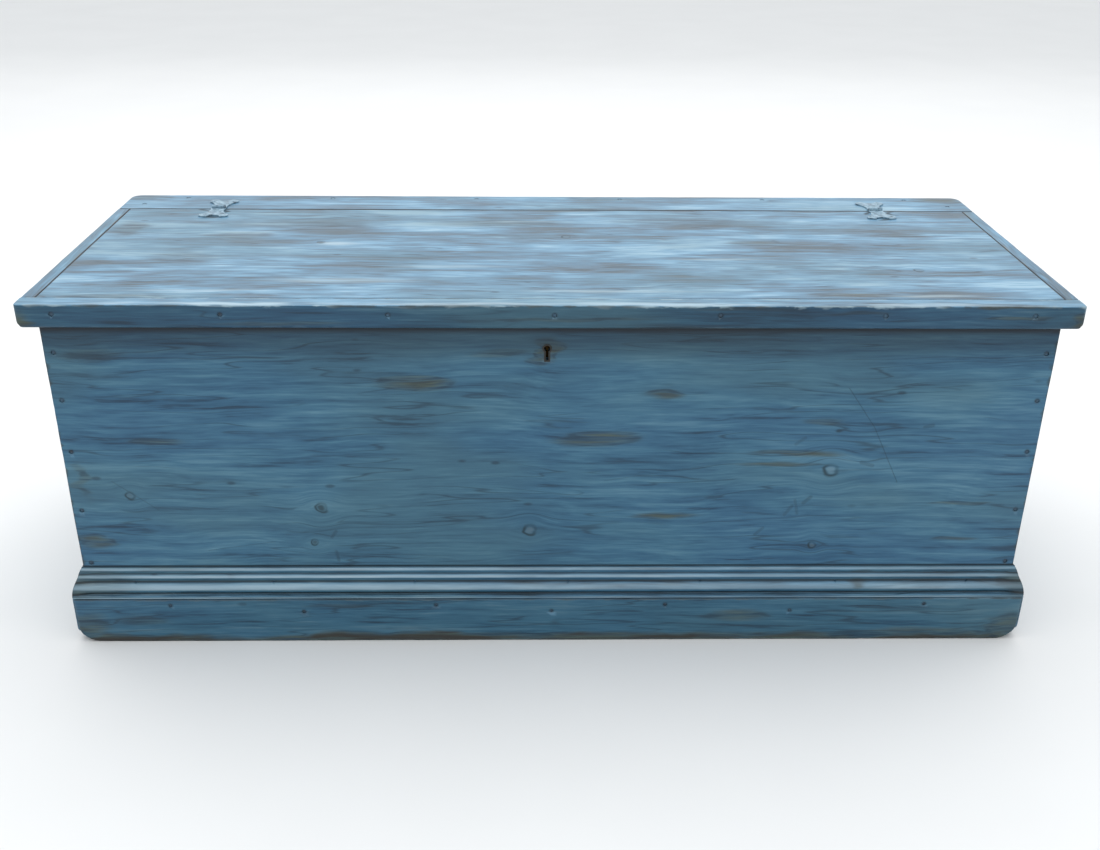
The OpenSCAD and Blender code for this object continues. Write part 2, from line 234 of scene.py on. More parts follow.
class PaintShop(NodeShop):
    """Makes the nodes of one material."""

    def __init__(self, name: str) -> None:
        """Starts an empty material.

        Args:
            name: Its name.
        """
        self.made = bpy.data.materials.new(name)
        self.made.use_nodes = True
        super().__init__(self.made.node_tree)
        self.tree.nodes.clear()

    def mix(self, amount: Number, first: Union[Val, Colour], second: Union[Val, Colour]) -> Val:
        """Goes from the first colour to the second by an amount from 0 to 1."""
        settings = {"data_type": "RGBA", "blend_type": "MIX", "clamp_factor": True}
        return self.val("ShaderNodeMix", settings, {0: amount, 6: first, 7: second}, 2)

    def ramp(self, amount: Number, stops: Stops) -> Val:
        """A colour picked from a row of stops."""
        return self.val("ShaderNodeValToRGB", {"stops": stops}, {"Fac": amount}, "Color")

    def place(self) -> Val:
        """The point on the piece, in metres."""
        return self.val("ShaderNodeTexCoord", out="Object")

    def noise(self, place: Val, scale: float = 1.0, detail: float = 3.0,
              roughness: float = 0.55, out: str = "Fac") -> Val:
        """Smooth random values about 0.5, or random colours for the output "Color"."""
        return self.val("ShaderNodeTexNoise", None, {
            "Vector": place, "Scale": scale, "Detail": detail, "Roughness": roughness}, out)

    def zero(self) -> Val:
        """A number to start a total from."""
        return self.math("ADD", 0.0, 0.0)

    def attribute(self, name: str) -> Val:
        """A number that is stored on the mesh."""
        return self.val("ShaderNodeAttribute", {"attribute_name": name}, None, "Fac")

    def finish(self, colour: Union[Val, Colour], roughness: Number, height: Optional[Val],
               depth: float, metallic: Number = 0.0, gloss: float = 0.5) -> Material:
        """Closes the material with its shader.

        Args:
            colour: The surface's colour.
            roughness: From 0, a mirror, to 1, chalk.
            height: Relief from 0 to 1, or None for none.
            depth: The relief's real depth in metres.
            metallic: 1 where the surface is bare metal.
            gloss: The specular level, the same all over.

        Returns:
            The finished material.
        """
        values = {"Base Color": colour, "Roughness": roughness, "Metallic": metallic,
                  "Specular IOR Level": gloss}
        if height is not None:
            values["Normal"] = self.val(
                "ShaderNodeBump", None, {"Height": height, "Distance": depth, "Strength": 1.0},
                "Normal")
        shader = self.val("ShaderNodeBsdfPrincipled", None, values, "BSDF")
        self.node("ShaderNodeOutputMaterial", None, {"Surface": shader})
        return self.made


class ShapeShop(NodeShop):
    """Makes the nodes of one geometry tree."""

    def __init__(self, name: str, inputs: dict[str, str]) -> None:
        """Starts a tree that takes a piece's geometry and some inputs.

        Args:
            name: The tree's name.
            inputs: The kind of each named input. One is "Finish", the material.
        """
        super().__init__(bpy.data.node_groups.new(name, "GeometryNodeTree"))
        face = self.tree.interface
        for label, kind in {"Geometry": "Geometry", **inputs}.items():
            face.new_socket(label, in_out="INPUT", socket_type="NodeSocket" + kind)
        face.new_socket("Geometry", in_out="OUTPUT", socket_type="NodeSocketGeometry")
        self.inputs = self.node("NodeGroupInput").outputs

    def given(self, name: str) -> Val:
        """One of the tree's inputs."""
        return Val(self, self.inputs[name])

    def pattern(self, name: str) -> Val:
        """The geometry of the object that one of the inputs holds."""
        return self.val("GeometryNodeObjectInfo", None, {"Object": self.given(name)}, "Geometry")

    def finish(self, geometry: Val) -> NodeTree:
        """Closes the tree.

        Args:
            geometry: The shape, whose instances are made real and given their finish.

        Returns:
            The tree.
        """
        real = self.val("GeometryNodeRealizeInstances", None, {"Geometry": geometry})
        dressed = self.val("GeometryNodeSetMaterial", None,
                           {"Geometry": real, "Material": self.given("Finish")})
        self.node("NodeGroupOutput", None, {0: dressed})
        return self.tree


# ------------------------ marks of use


@dataclass(frozen=True)
class Knot:
    """A knot that shows through the paint.

    Attributes:
        centre: Its middle.
        radius: Of its ring.
        heart: How dark its middle is, from 0 to 1.
    """

    centre: Triple
    radius: float
    heart: float = 0.3


@dataclass(frozen=True)
class Patch:
    """A place where the paint is rubbed thin, stained or pale; some are painted shade round the hinges
    and a painted highlight along an arris.

    Attributes:
        centre: Its middle.
        half: Half its length each way; a long third number reaches through the board.
        amount: How much of it shows, from 0 to 1.
    """

    centre: Triple
    half: Triple
    amount: float = 1.0


@dataclass(frozen=True)
class Scratch:
    """A thin straight scratch.

    Attributes:
        start: One end.
        end: The other end.
        width: Twice its greatest breadth from the middle line.
        amount: How dark it is, from 0 to 1.
    """

    start: Triple
    end: Triple
    width: float = 0.0008
    amount: float = 0.5


@dataclass(frozen=True)
class Band:
    """A line along a moulding.

    Attributes:
        height: Above the floor.
        half: Half its width.
        lift: How bright the painted highlight on a crest is, and below 0 how dark the painted shade in
            a quirk is.
    """

    height: float
    half: float
    lift: float


# ------------------------ finishes


# dark dirt, also used for the painted shade in the moulding's quirks and round the hinges
GRIME_AND_SHADE = srgb(18, 24, 26)


@dataclass(frozen=True)
class SeamDirtAndShade:
    """A dark line on a board: dirt in a joint with the next board, and on the front the painted shade
    under the lid.

    Attributes:
        axis: The axis that it is measured along.
        place: Its place on that axis.
        half: Half its width.
        amount: How dark it is, from 0 to 1.
        tone: Its colour: dirt in a joint, and on the front the painted shade under the lid.
    """

    axis: Axis
    place: float
    half: float = 1.3 * MM
    amount: float = 0.9
    tone: Colour = GRIME_AND_SHADE


BODY_TONES: Stops = ((0.20, srgb(27, 71, 99)), (0.42, srgb(47, 93, 121)),
                     (0.58, srgb(60, 107, 132)), (0.82, srgb(86, 129, 149)))
# deeper paint for the lid's edging, partly painted shade on its faces
EDGE_TONES: Stops = ((0.20, srgb(16, 48, 68)), (0.42, srgb(27, 66, 89)),
                     (0.60, srgb(36, 78, 101)), (0.84, srgb(64, 100, 118)))
PLINTH_TONES: Stops = ((0.20, srgb(24, 65, 89)), (0.42, srgb(42, 88, 112)),
                       (0.58, srgb(52, 98, 121)), (0.84, srgb(78, 114, 131)))
# paler paint for faces that look up: worn, dusty paint, partly painted top light
TOP_TONES: Stops = ((0.20, srgb(66, 86, 98)), (0.36, srgb(76, 108, 130)),
                    (0.50, srgb(86, 127, 153)), (0.64, srgb(104, 148, 176)),
                    (0.82, srgb(142, 176, 194)))


@dataclass(frozen=True)
class PaintedPine:
    """Old blue paint on pine, rubbed along the grain, with bare wood where "bare" is 1.

    Attributes:
        tones: The paint from its darkest to its palest on upright faces.
        contrast: How uneven the paint is.
        bareness: How much of it is worn through.
        edge: Width of the rubbed arris, or 0 for none.
        edge_tone: The colour of a rubbed arris; on the lid's front edging partly a painted highlight.
        low_rub: How much the lower arrises are rubbed, from 0 to 1.
        foot: Height above the lowest corner over which the paint is rubbed away.
        knots: The knots that show through.
        patches: Where the paint is rubbed thin.
        pale: Where it is chalky; on the lid's front edging also a painted highlight along the top
            arris.
        scratches: The scratches in it.
        stains_and_shade: Where it is dirty, and on the lid the painted shade round the hinges.
        seats: The middles of the nail heads that dirt has gathered round.
        seam_dirt_and_shade: Dirty joints with the next boards, and on the front the painted shade under
            the lid.
        bands: Painted highlights on a moulding's crests and painted shade in its quirks.
        name: The material's name, filled in with the next four for each board.
        grain: The direction of the grain.
        low: The board's lowest corner.
        high: Its highest corner.
        seed: Moves every random pattern.
    """

    tones: Stops = BODY_TONES
    contrast: float = 1.0
    bareness: float = 0.25
    edge: float = 2.0 * MM
    edge_tone: Colour = srgb(86, 104, 110)
    low_rub: float = 1.0
    foot: float = 0.0
    knots: tuple[Knot, ...] = ()
    patches: tuple[Patch, ...] = ()
    pale: tuple[Patch, ...] = ()
    scratches: tuple[Scratch, ...] = ()
    stains_and_shade: tuple[Patch, ...] = ()
    seats: tuple[Triple, ...] = ()
    seam_dirt_and_shade: tuple[SeamDirtAndShade, ...] = ()
    bands: tuple[Band, ...] = ()
    name: str = "paint"
    grain: Axis = Axis.X
    low: Triple = (0.0, 0.0, 0.0)
    high: Triple = (0.0, 0.0, 0.0)
    seed: int = 0

    TEAL = srgb(64, 100, 112)
    BLUE = srgb(46, 92, 134)
    LINE = srgb(18, 42, 58)
    KNOT = srgb(16, 40, 48)
    OLIVE = srgb(74, 82, 66)
    UMBER = srgb(54, 58, 52)
    STONE = srgb(112, 112, 106)
    EARTH = srgb(46, 38, 30)
    # pale chalky paint, also laid as painted highlights on the moulding's crests, the knots and the
    # lid's front arris
    CHALK_AND_HIGHLIGHT = srgb(162, 186, 198)
    WOOD = srgb(152, 121, 84)
    WOOD_PALE = srgb(176, 147, 108)
    WOOD_DARK = srgb(110, 82, 55)
    WOOD_GREY = srgb(116, 104, 88)

    def material(self) -> Material:
        """Builds the finish."""
        return PaintJob(self).material()


class PaintJob:
    """Lays one board's paint, wear and marks, layer on layer."""

    SWAY = 20 * MM
    RAGGED_ALONG = 55 * MM
    RAGGED_ACROSS = 11 * MM
    SEAT_RIM = (2.0 * MM, 4.8 * MM)
    RELIEF = 0.8 * MM
    GLOSS = 0.4

    def __init__(self, look: PaintedPine) -> None:
        """Makes the random patterns that the layers share.

        Args:
            look: What the board's paint is like.
        """
        self.look = look
        self.shop = PaintShop(look.name)
        self.place = self.shop.place()
        self.up = self.shop.attribute("up")
        self.bent = self._bent()
        # clouds and large areas, then streaks from broad to fine
        self.blotch = self._noise(self.place, 7, 16, 1, 3, 0.6)
        self.zone = self._noise(self.place, 3.0, 9, 5, 2)
        self.broad = self._noise(self.bent, 3.4, 26, 1, 4, 0.62)
        self.streak = self._noise(self.bent, 6.5, 140, 2, 4, 0.6)
        self.fibre = self._noise(self.bent, 26, 420, 3, 2, 0.5)
        # random steps, for ragged outlines
        jitter = self._noise(self.place, 14, 75, 30, 2, 0.5, "Color")
        self.drift = self.shop.vector("SUBTRACT", jitter, (0.5, 0.5, 0.5))
        spread = tuple(self.RAGGED_ALONG if axis is look.grain else self.RAGGED_ACROSS
                       for axis in Axis)
        steps = self.shop.vector("MULTIPLY", self.drift, spread)
        self.loose = self.shop.vector("ADD", self.place, steps)
        self.colour = self._coat()

    def _along(self, place: Val, along: float, across: float, shift: float) -> Val:
        """Scales a place for a pattern that runs with the grain.

        Args:
            place: The place.
            along: How many bumps the pattern has in a metre along the grain.
            across: The same across it.
            shift: Tells the pattern from the board's others.

        Returns:
            The place in the pattern.
        """
        scale = [across, across, across]
        scale[self.look.grain.value] = along
        moved = self.shop.vector("MULTIPLY", place, tuple(scale))
        offset = self.look.seed * 3.7 + shift
        return self.shop.vector("ADD", moved, (offset, offset * 0.31, offset * 0.17))

    def _noise(self, place: Val, along: float, across: float, shift: float, detail: float = 3.0,
               roughness: float = 0.55, out: str = "Fac") -> Val:
        """Random values that run with the grain."""
        moved = self._along(place, along, across, shift)
        return self.shop.noise(moved, 1.0, detail, roughness, out)

    def _gap(self, place: Val, other: Union[Val, Triple]) -> Val:
        """The distance between two places."""
        return self.shop.vector("LENGTH", self.shop.vector("SUBTRACT", place, other))

    def _lay(self, amount: Number, tone: Union[Val, Colour]) -> None:
        """Lays a colour over the paint by an amount from 0 to 1."""
        self.colour = self.shop.mix(amount, self.colour, tone)

    def _bent(self) -> Val:
        """Lets the grain wander and run round the knots.

        Returns:
            The point in the bent grain.
        """
        shop = self.shop
        sway = (self._noise(self.place, 4.5, 7, 40, 2) - 0.5) * self.SWAY
        ways = [0.0 if axis is self.look.grain else 1.0 for axis in Axis]
        place = shop.vector("ADD", self.place, shop.stretch(shop.join(*ways), sway))
        for knot in self.look.knots:
            away = shop.vector("SUBTRACT", place, knot.centre)
            near = shop.vector("LENGTH", away).below(0.0, knot.radius * 5.0)
            place = shop.vector("SUBTRACT", place, shop.stretch(away, near * 0.7))
        return place

    def _spots(self, spots: Iterable[Patch]) -> Val:
        """Draws ragged patches.

        Args:
            spots: The patches.

        Returns:
            How far a point is inside any of them, from 0 to 1.
        """
        shop = self.shop
        total = shop.zero()
        for spot in spots:
            away = shop.vector("SUBTRACT", self.loose, spot.centre)
            inside = shop.vector("LENGTH", shop.vector("DIVIDE", away, spot.half))
            total = total.higher(inside.below(0.25, 1.1) * spot.amount)
        return total

    def _cuts(self) -> Val:
        """Draws the scratches.

        Returns:
            How far a point is on any of them, from 0 to 1.
        """
        shop = self.shop
        total = shop.zero()
        for one in self.look.scratches:
            run = Vector(one.end) - Vector(one.start)
            away = shop.vector("SUBTRACT", self.place, one.start)
            part = shop.vector("DOT_PRODUCT", away, tuple(run / run.length_squared))
            nearest = shop.stretch(shop.join(*run), part.higher(0.0).lower(1.0))
            on = self._gap(away, nearest).below(one.width * 0.3, one.width)
            total = total.higher(on * one.amount)
        return total

    def _dirt(self) -> Val:
        """Draws the stains, the painted shade round the hinges and the dirt round the nail heads.

        Returns:
            How dark a point is with dirt, and round the hinges with painted shade, from 0 to 1.
        """
        dirt_and_shade = self._spots(self.look.stains_and_shade)
        for head in self.look.seats:
            dirt_and_shade = dirt_and_shade.higher(self._gap(self.place, head).below(*self.SEAT_RIM) * 0.45)
        return dirt_and_shade

    def _flecks(self) -> Val:
        """Draws small dark bruises.

        Returns:
            How far a point is on any of them, from 0 to 1.
        """
        cells = self.shop.node("ShaderNodeTexVoronoi", {"feature": "F1"},
                               {"Vector": self._along(self.place, 26, 60, 8), "Scale": 1.0})
        chance = self.shop.split(Val(self.shop, cells.outputs["Color"]))[0]
        size = Val(self.shop, cells.outputs["Distance"]).below(0.07, 0.20)
        return size * chance.above(0.93, 0.95) * self.zone.above(0.35, 0.6)

    def _edge_gap(self) -> Val:
        """Measures a point's distance to the board's nearest arris.

        Returns:
            The distance.
        """
        shop = self.shop
        low, high = Vector(self.look.low), Vector(self.look.high)
        away = shop.vector("SUBTRACT", self.place, tuple((low + high) / 2))
        away = shop.vector("ABSOLUTE", away)
        x, y, z = shop.split(shop.vector("SUBTRACT", tuple((high - low) / 2), away))
        return x.higher(y).lower(y.higher(z)).lower(x.higher(z))

    def _wood(self) -> Val:
        """Mixes the bare pine's colour.

        Returns:
            The colour.
        """
        look = self.look
        rings = self._noise(self.place, 1.6, 34, 11, 4, 0.62)
        tone = 0.5 + (rings - 0.5) * 1.1 + (self.fibre - 0.5) * 0.6
        colour = self.shop.ramp(tone, ((0.30, look.WOOD_DARK), (0.5, look.WOOD),
                                       (0.72, look.WOOD_PALE)))
        stain = self._noise(self.place, 1.1, 5, 23).above(0.42, 0.75)
        return self.shop.mix(stain * 0.6, colour, look.WOOD_GREY)

    def _coat(self) -> Val:
        """Mixes the paint: streaks on upright faces and paler clouds on those that look up, worn, dusty
        paint that is partly painted top light.

        Returns:
            The paint's own colour.
        """
        look, shop = self.look, self.shop
        blotch, broad = self.blotch - 0.5, self.broad - 0.5
        streak, fine = self.streak - 0.5, (self.fibre - 0.5) * 0.50
        uneven = blotch * 0.45 + broad * 0.65 + streak * 1.05
        cloudy = blotch * 0.80 + (self.zone - 0.5) * 0.45 + broad * 0.80 + streak * 0.70
        # faces that look up take the paler tones, partly painted top light
        colour = shop.mix(
            self.up, shop.ramp(0.5 + (uneven + fine) * look.contrast, look.tones),
            shop.ramp(0.5 + (cloudy + fine) * look.contrast, TOP_TONES))
        colour = shop.mix(self.zone.above(0.46, 0.66) * 0.38, colour, look.TEAL)
        blue = self.zone.below(0.34, 0.50) * (1 - self.up) * 0.14
        return shop.mix(blue, colour, look.BLUE)

    def _wear(self) -> Val:
        """Wears the paint through to dark wood.

        Returns:
            How worn a point is.
        """
        look, shop, streak = self.look, self.shop, self.streak
        start, end = 0.72 - 0.20 * look.bareness, 0.84 - 0.18 * look.bareness
        thin = (self.zone * 0.55 + streak * 0.45).above(start, end)
        rubbed = self._spots(look.patches) * (0.45 + streak.above(0.38, 0.58) * 0.55)
        foot = shop.zero()
        if look.foot:
            height = shop.split(self.place)[2] - look.low[2]
            foot = (height - (self.blotch - 0.44) * look.foot * 4.6).below(0.0, look.foot)
            rubbed = rubbed.higher(foot * 0.9)
        worn = (thin * 0.8).higher(rubbed)
        ground = shop.mix(self.fibre.above(0.35, 0.7), look.UMBER, look.OLIVE)
        self._lay(worn * 0.85, shop.mix(self.up * 0.45, ground, look.STONE))
        rim = rubbed.above(0.08, 0.22) * rubbed.below(0.28, 0.48)
        self._lay(rim * streak.below(0.42, 0.56) * 0.55, look.LINE)
        self._lay(foot * streak.above(0.40, 0.58) * 0.75, look.EARTH)
        return worn

    def _knots(self) -> Val:
        """Lays the knots.

        Returns:
            How far a point is on a knot's dark ring.
        """
        shop = self.shop
        dark, glint = shop.zero(), shop.zero()
        low_left = (-0.62, -0.45, -0.62)
        for knot in self.look.knots:
            uneven = shop.stretch(self.drift, knot.radius * 1.5)
            away = shop.vector("ADD", shop.vector("SUBTRACT", self.place, knot.centre), uneven)
            reach = shop.vector("LENGTH", away) / knot.radius
            side = shop.vector("DOT_PRODUCT", away, low_left) / knot.radius
            rim = abs(reach - 0.9).below(0.0, 0.42) * (0.4 + side.above(-0.7, 0.6) * 0.55)
            core = reach.below(0.3, 1.0) * knot.heart
            dark = dark.higher(rim).higher(core)
            glint = glint.higher(reach.below(0.35, 0.8) * (1 - knot.heart) * 0.2)
        self._lay(glint, self.look.CHALK_AND_HIGHLIGHT)
        self._lay(dark * 0.84, self.look.KNOT)
        return dark

    def _arrises(self) -> None:
        """Rubs the arrises; on the lid's front edging the pale rub is partly a painted highlight."""
        look = self.look
        ragged = self._noise(self.place, 42, 95, 9, 3, 0.6)
        reach = ragged.above(0.38, 0.72) * (look.edge * 1.6) + 0.7 * MM
        rub = self._edge_gap().below(0.0, reach)
        if look.low_rub < 1:
            height = self.shop.split(self.place)[2]
            upper = height.above(look.low[2] * 0.6 + look.high[2] * 0.4, look.high[2])
            rub = rub * (look.low_rub + upper * (1 - look.low_rub))
        tint = self.shop.mix(self.blotch.above(0.5, 0.62), look.edge_tone, look.UMBER)
        self._lay(rub * 0.8, tint)

    def _bands(self, worn: Val) -> None:
        """Lays painted highlights on the moulding's crests and painted shade in its quirks.

        Args:
            worn: How worn a point is.
        """
        height = self.shop.split(self.place)[2]
        for band in self.look.bands:
            on = abs(height - band.height).below(band.half * 0.25, band.half)
            # painted highlight on a crest, fainter where the paint is worn
            if band.lift > 0:
                on = on * (0.5 + self.broad.above(0.4, 0.6) * 0.5) * (1 - worn * 0.8)
                self._lay(on * band.lift, self.look.CHALK_AND_HIGHLIGHT)
            else:
                # painted shade in a quirk
                self._lay(on * -band.lift, GRIME_AND_SHADE)

    def _seam_dirt_and_shade(self) -> None:
        """Lays the dark lines: dirt in the joints, and on the front the painted shade under the lid."""
        steps = self.shop.split(self.place)
        for dark_line in self.look.seam_dirt_and_shade:
            gap = abs(steps[dark_line.axis.value] - dark_line.place)
            on = gap.below(dark_line.half * 0.5, dark_line.half * 1.3) * dark_line.amount
            self._lay(on, dark_line.tone)

    def material(self) -> Material:
        """Lays all the layers.

        Returns:
            The material, with its paint, wear, knots, scratches and bare faces.
        """
        look = self.look
        # thin dark lines that wander with the grain, and short dark drags of the brush
        contour = self._noise(self.bent, 3.6, 62, 7, 1.5, 0.5)
        lines = abs(contour - 0.5).below(0.0, 0.018) * self.blotch.below(0.42, 0.60)
        drags = self.streak.below(0.31, 0.40) * self.blotch.below(0.44, 0.64) \
            * (1 - self.up * 0.45)
        self._lay((lines * 0.52).higher(drags * 0.54), look.LINE)
        worn = self._wear()
        self._lay(self._spots(look.pale), look.CHALK_AND_HIGHLIGHT)
        knots, cuts, dirt_and_shade = self._knots(), self._cuts(), self._dirt()
        self._lay(cuts * 0.7, look.LINE)
        # dirt, and round the hinges painted shade
        self._lay(dirt_and_shade * 0.9, GRIME_AND_SHADE)
        self._lay(self._flecks() * 0.6, look.LINE)
        if look.edge:
            self._arrises()
        self._bands(worn)
        self._seam_dirt_and_shade()
        bare = self.shop.attribute("bare").above(0.35, 0.65)
        self._lay(bare, self._wood())

        streak = self.streak - 0.5
        roughness = 0.42 + streak * 0.25 + worn * 0.14 + dirt_and_shade * 0.2 + bare * 0.3
        height = 0.5 + (self.fibre - 0.5) * 0.35 + streak * 0.5 - lines * 0.12 \
            - drags * 0.16 - knots * 0.3 - cuts * 0.8
        return self.shop.finish(self.colour, roughness, height, self.RELIEF, gloss=self.GLOSS)


class MetalWear(Enum):
    """How a piece of metalwork has aged."""

    PAINTED = "painted over with the lid and chipped"
    FLUSH = "painted over with the front"
    RUSTED = "dark iron with rust"
    TARNISHED = "brass gone brown"
    GRIMY = "brass under paint and dirt"


METAL_TONES: dict[MetalWear, Stops] = {
    MetalWear.PAINTED: ((0.32, srgb(34, 44, 50)), (0.41, srgb(84, 108, 124)),
                        (0.50, srgb(120, 150, 168)), (0.70, srgb(162, 186, 196))),
    MetalWear.FLUSH: ((0.34, srgb(14, 20, 26)), (0.46, srgb(32, 56, 74)),
                      (0.60, srgb(46, 80, 102)), (0.78, srgb(62, 94, 112))),
    MetalWear.RUSTED: ((0.30, srgb(24, 21, 19)), (0.50, srgb(50, 42, 36)),
                       (0.66, srgb(88, 58, 38)), (0.80, srgb(74, 68, 62))),
    MetalWear.TARNISHED: ((0.28, srgb(52, 38, 20)), (0.48, srgb(104, 78, 38)),
                          (0.64, srgb(150, 118, 62)), (0.82, srgb(176, 146, 86))),
    MetalWear.GRIMY: ((0.28, srgb(12, 12, 10)), (0.50, srgb(28, 29, 25)),
                      (0.66, srgb(44, 44, 37)), (0.82, srgb(62, 60, 47)))}


@dataclass(frozen=True)
class OldMetal:
    """Old iron or brass.

    Attributes:
        name: The material's name.
        wear: How it has aged.
        seed: Moves the random pattern.
    """

    name: str
    wear: MetalWear
    seed: int = 0

    BLOTCHES = 160.0
    GRIT = 900.0
    RELIEF = 0.4 * MM

    def material(self) -> Material:
        """Builds the finish.

        Returns:
            The material.
        """
        shop = PaintShop(self.name)
        place = shop.vector("ADD", shop.place(), (self.seed * 0.31, self.seed * 0.17, 0.0))
        blotch = shop.noise(place, self.BLOTCHES, 4, 0.6)
        grit = shop.noise(place, self.GRIT, 3, 0.6)
        colour = shop.ramp(blotch * 0.7 + grit * 0.3, METAL_TONES[self.wear])
        painted = self.wear in (MetalWear.PAINTED, MetalWear.FLUSH, MetalWear.GRIMY)
        shine = 0.0 if painted else grit.below(0.35, 0.6) * 0.3 + 0.55
        roughness = 0.46 + (blotch - 0.5) * 0.3 + (grit - 0.5) * 0.25
        return shop.finish(colour, roughness, blotch * 0.6 + grit * 0.4, self.RELIEF, shine)


# ------------------------ worn wood


Shape = Callable[[np.ndarray], np.ndarray]


@dataclass(frozen=True)
class Ripple:
    """Smooth random heights in space, the same on every run.

    Attributes:
        seed: Picks one of many such patterns.
    """

    seed: int

    def _corner(self, cell: np.ndarray) -> np.ndarray:
        """Picks a random number for each corner of the cells.

        Args:
            cell: The corners, in whole numbers.

        Returns:
            One number from -1 to 1 for each.
        """
        mixed = (cell[:, 0] * 73856093) ^ (cell[:, 1] * 19349663) ^ (cell[:, 2] * 83492791)
        mixed = (mixed ^ (self.seed * 2654435)) & 0x7FFFFFFF
        mixed = ((mixed ^ (mixed >> 13)) * 1274126177) & 0x7FFFFFFF
        mixed = ((mixed ^ (mixed >> 11)) * 69069 + 12345) & 0x7FFFFFFF
        return mixed / 0x3FFFFFFF - 1.0

    def at(self, points: np.ndarray, size: Triple) -> np.ndarray:
        """Heights at many points.

        Args:
            points: One place in each row.
            size: The distance between bumps along each axis.

        Returns:
            One height from -1 to 1 for each point.
        """
        scaled = points / np.array(size) + 1000.0
        cell = np.floor(scaled).astype(np.int64)
        part = scaled - cell
        part = part * part * (3 - 2 * part)
        total = np.zeros(len(points))
        for corner in range(8):
            step = np.array([corner & 1, corner >> 1 & 1, corner >> 2 & 1])
            share = np.prod(np.where(step == 1, part, 1 - part), axis=1)
            total += share * self._corner(cell + step)
        return total


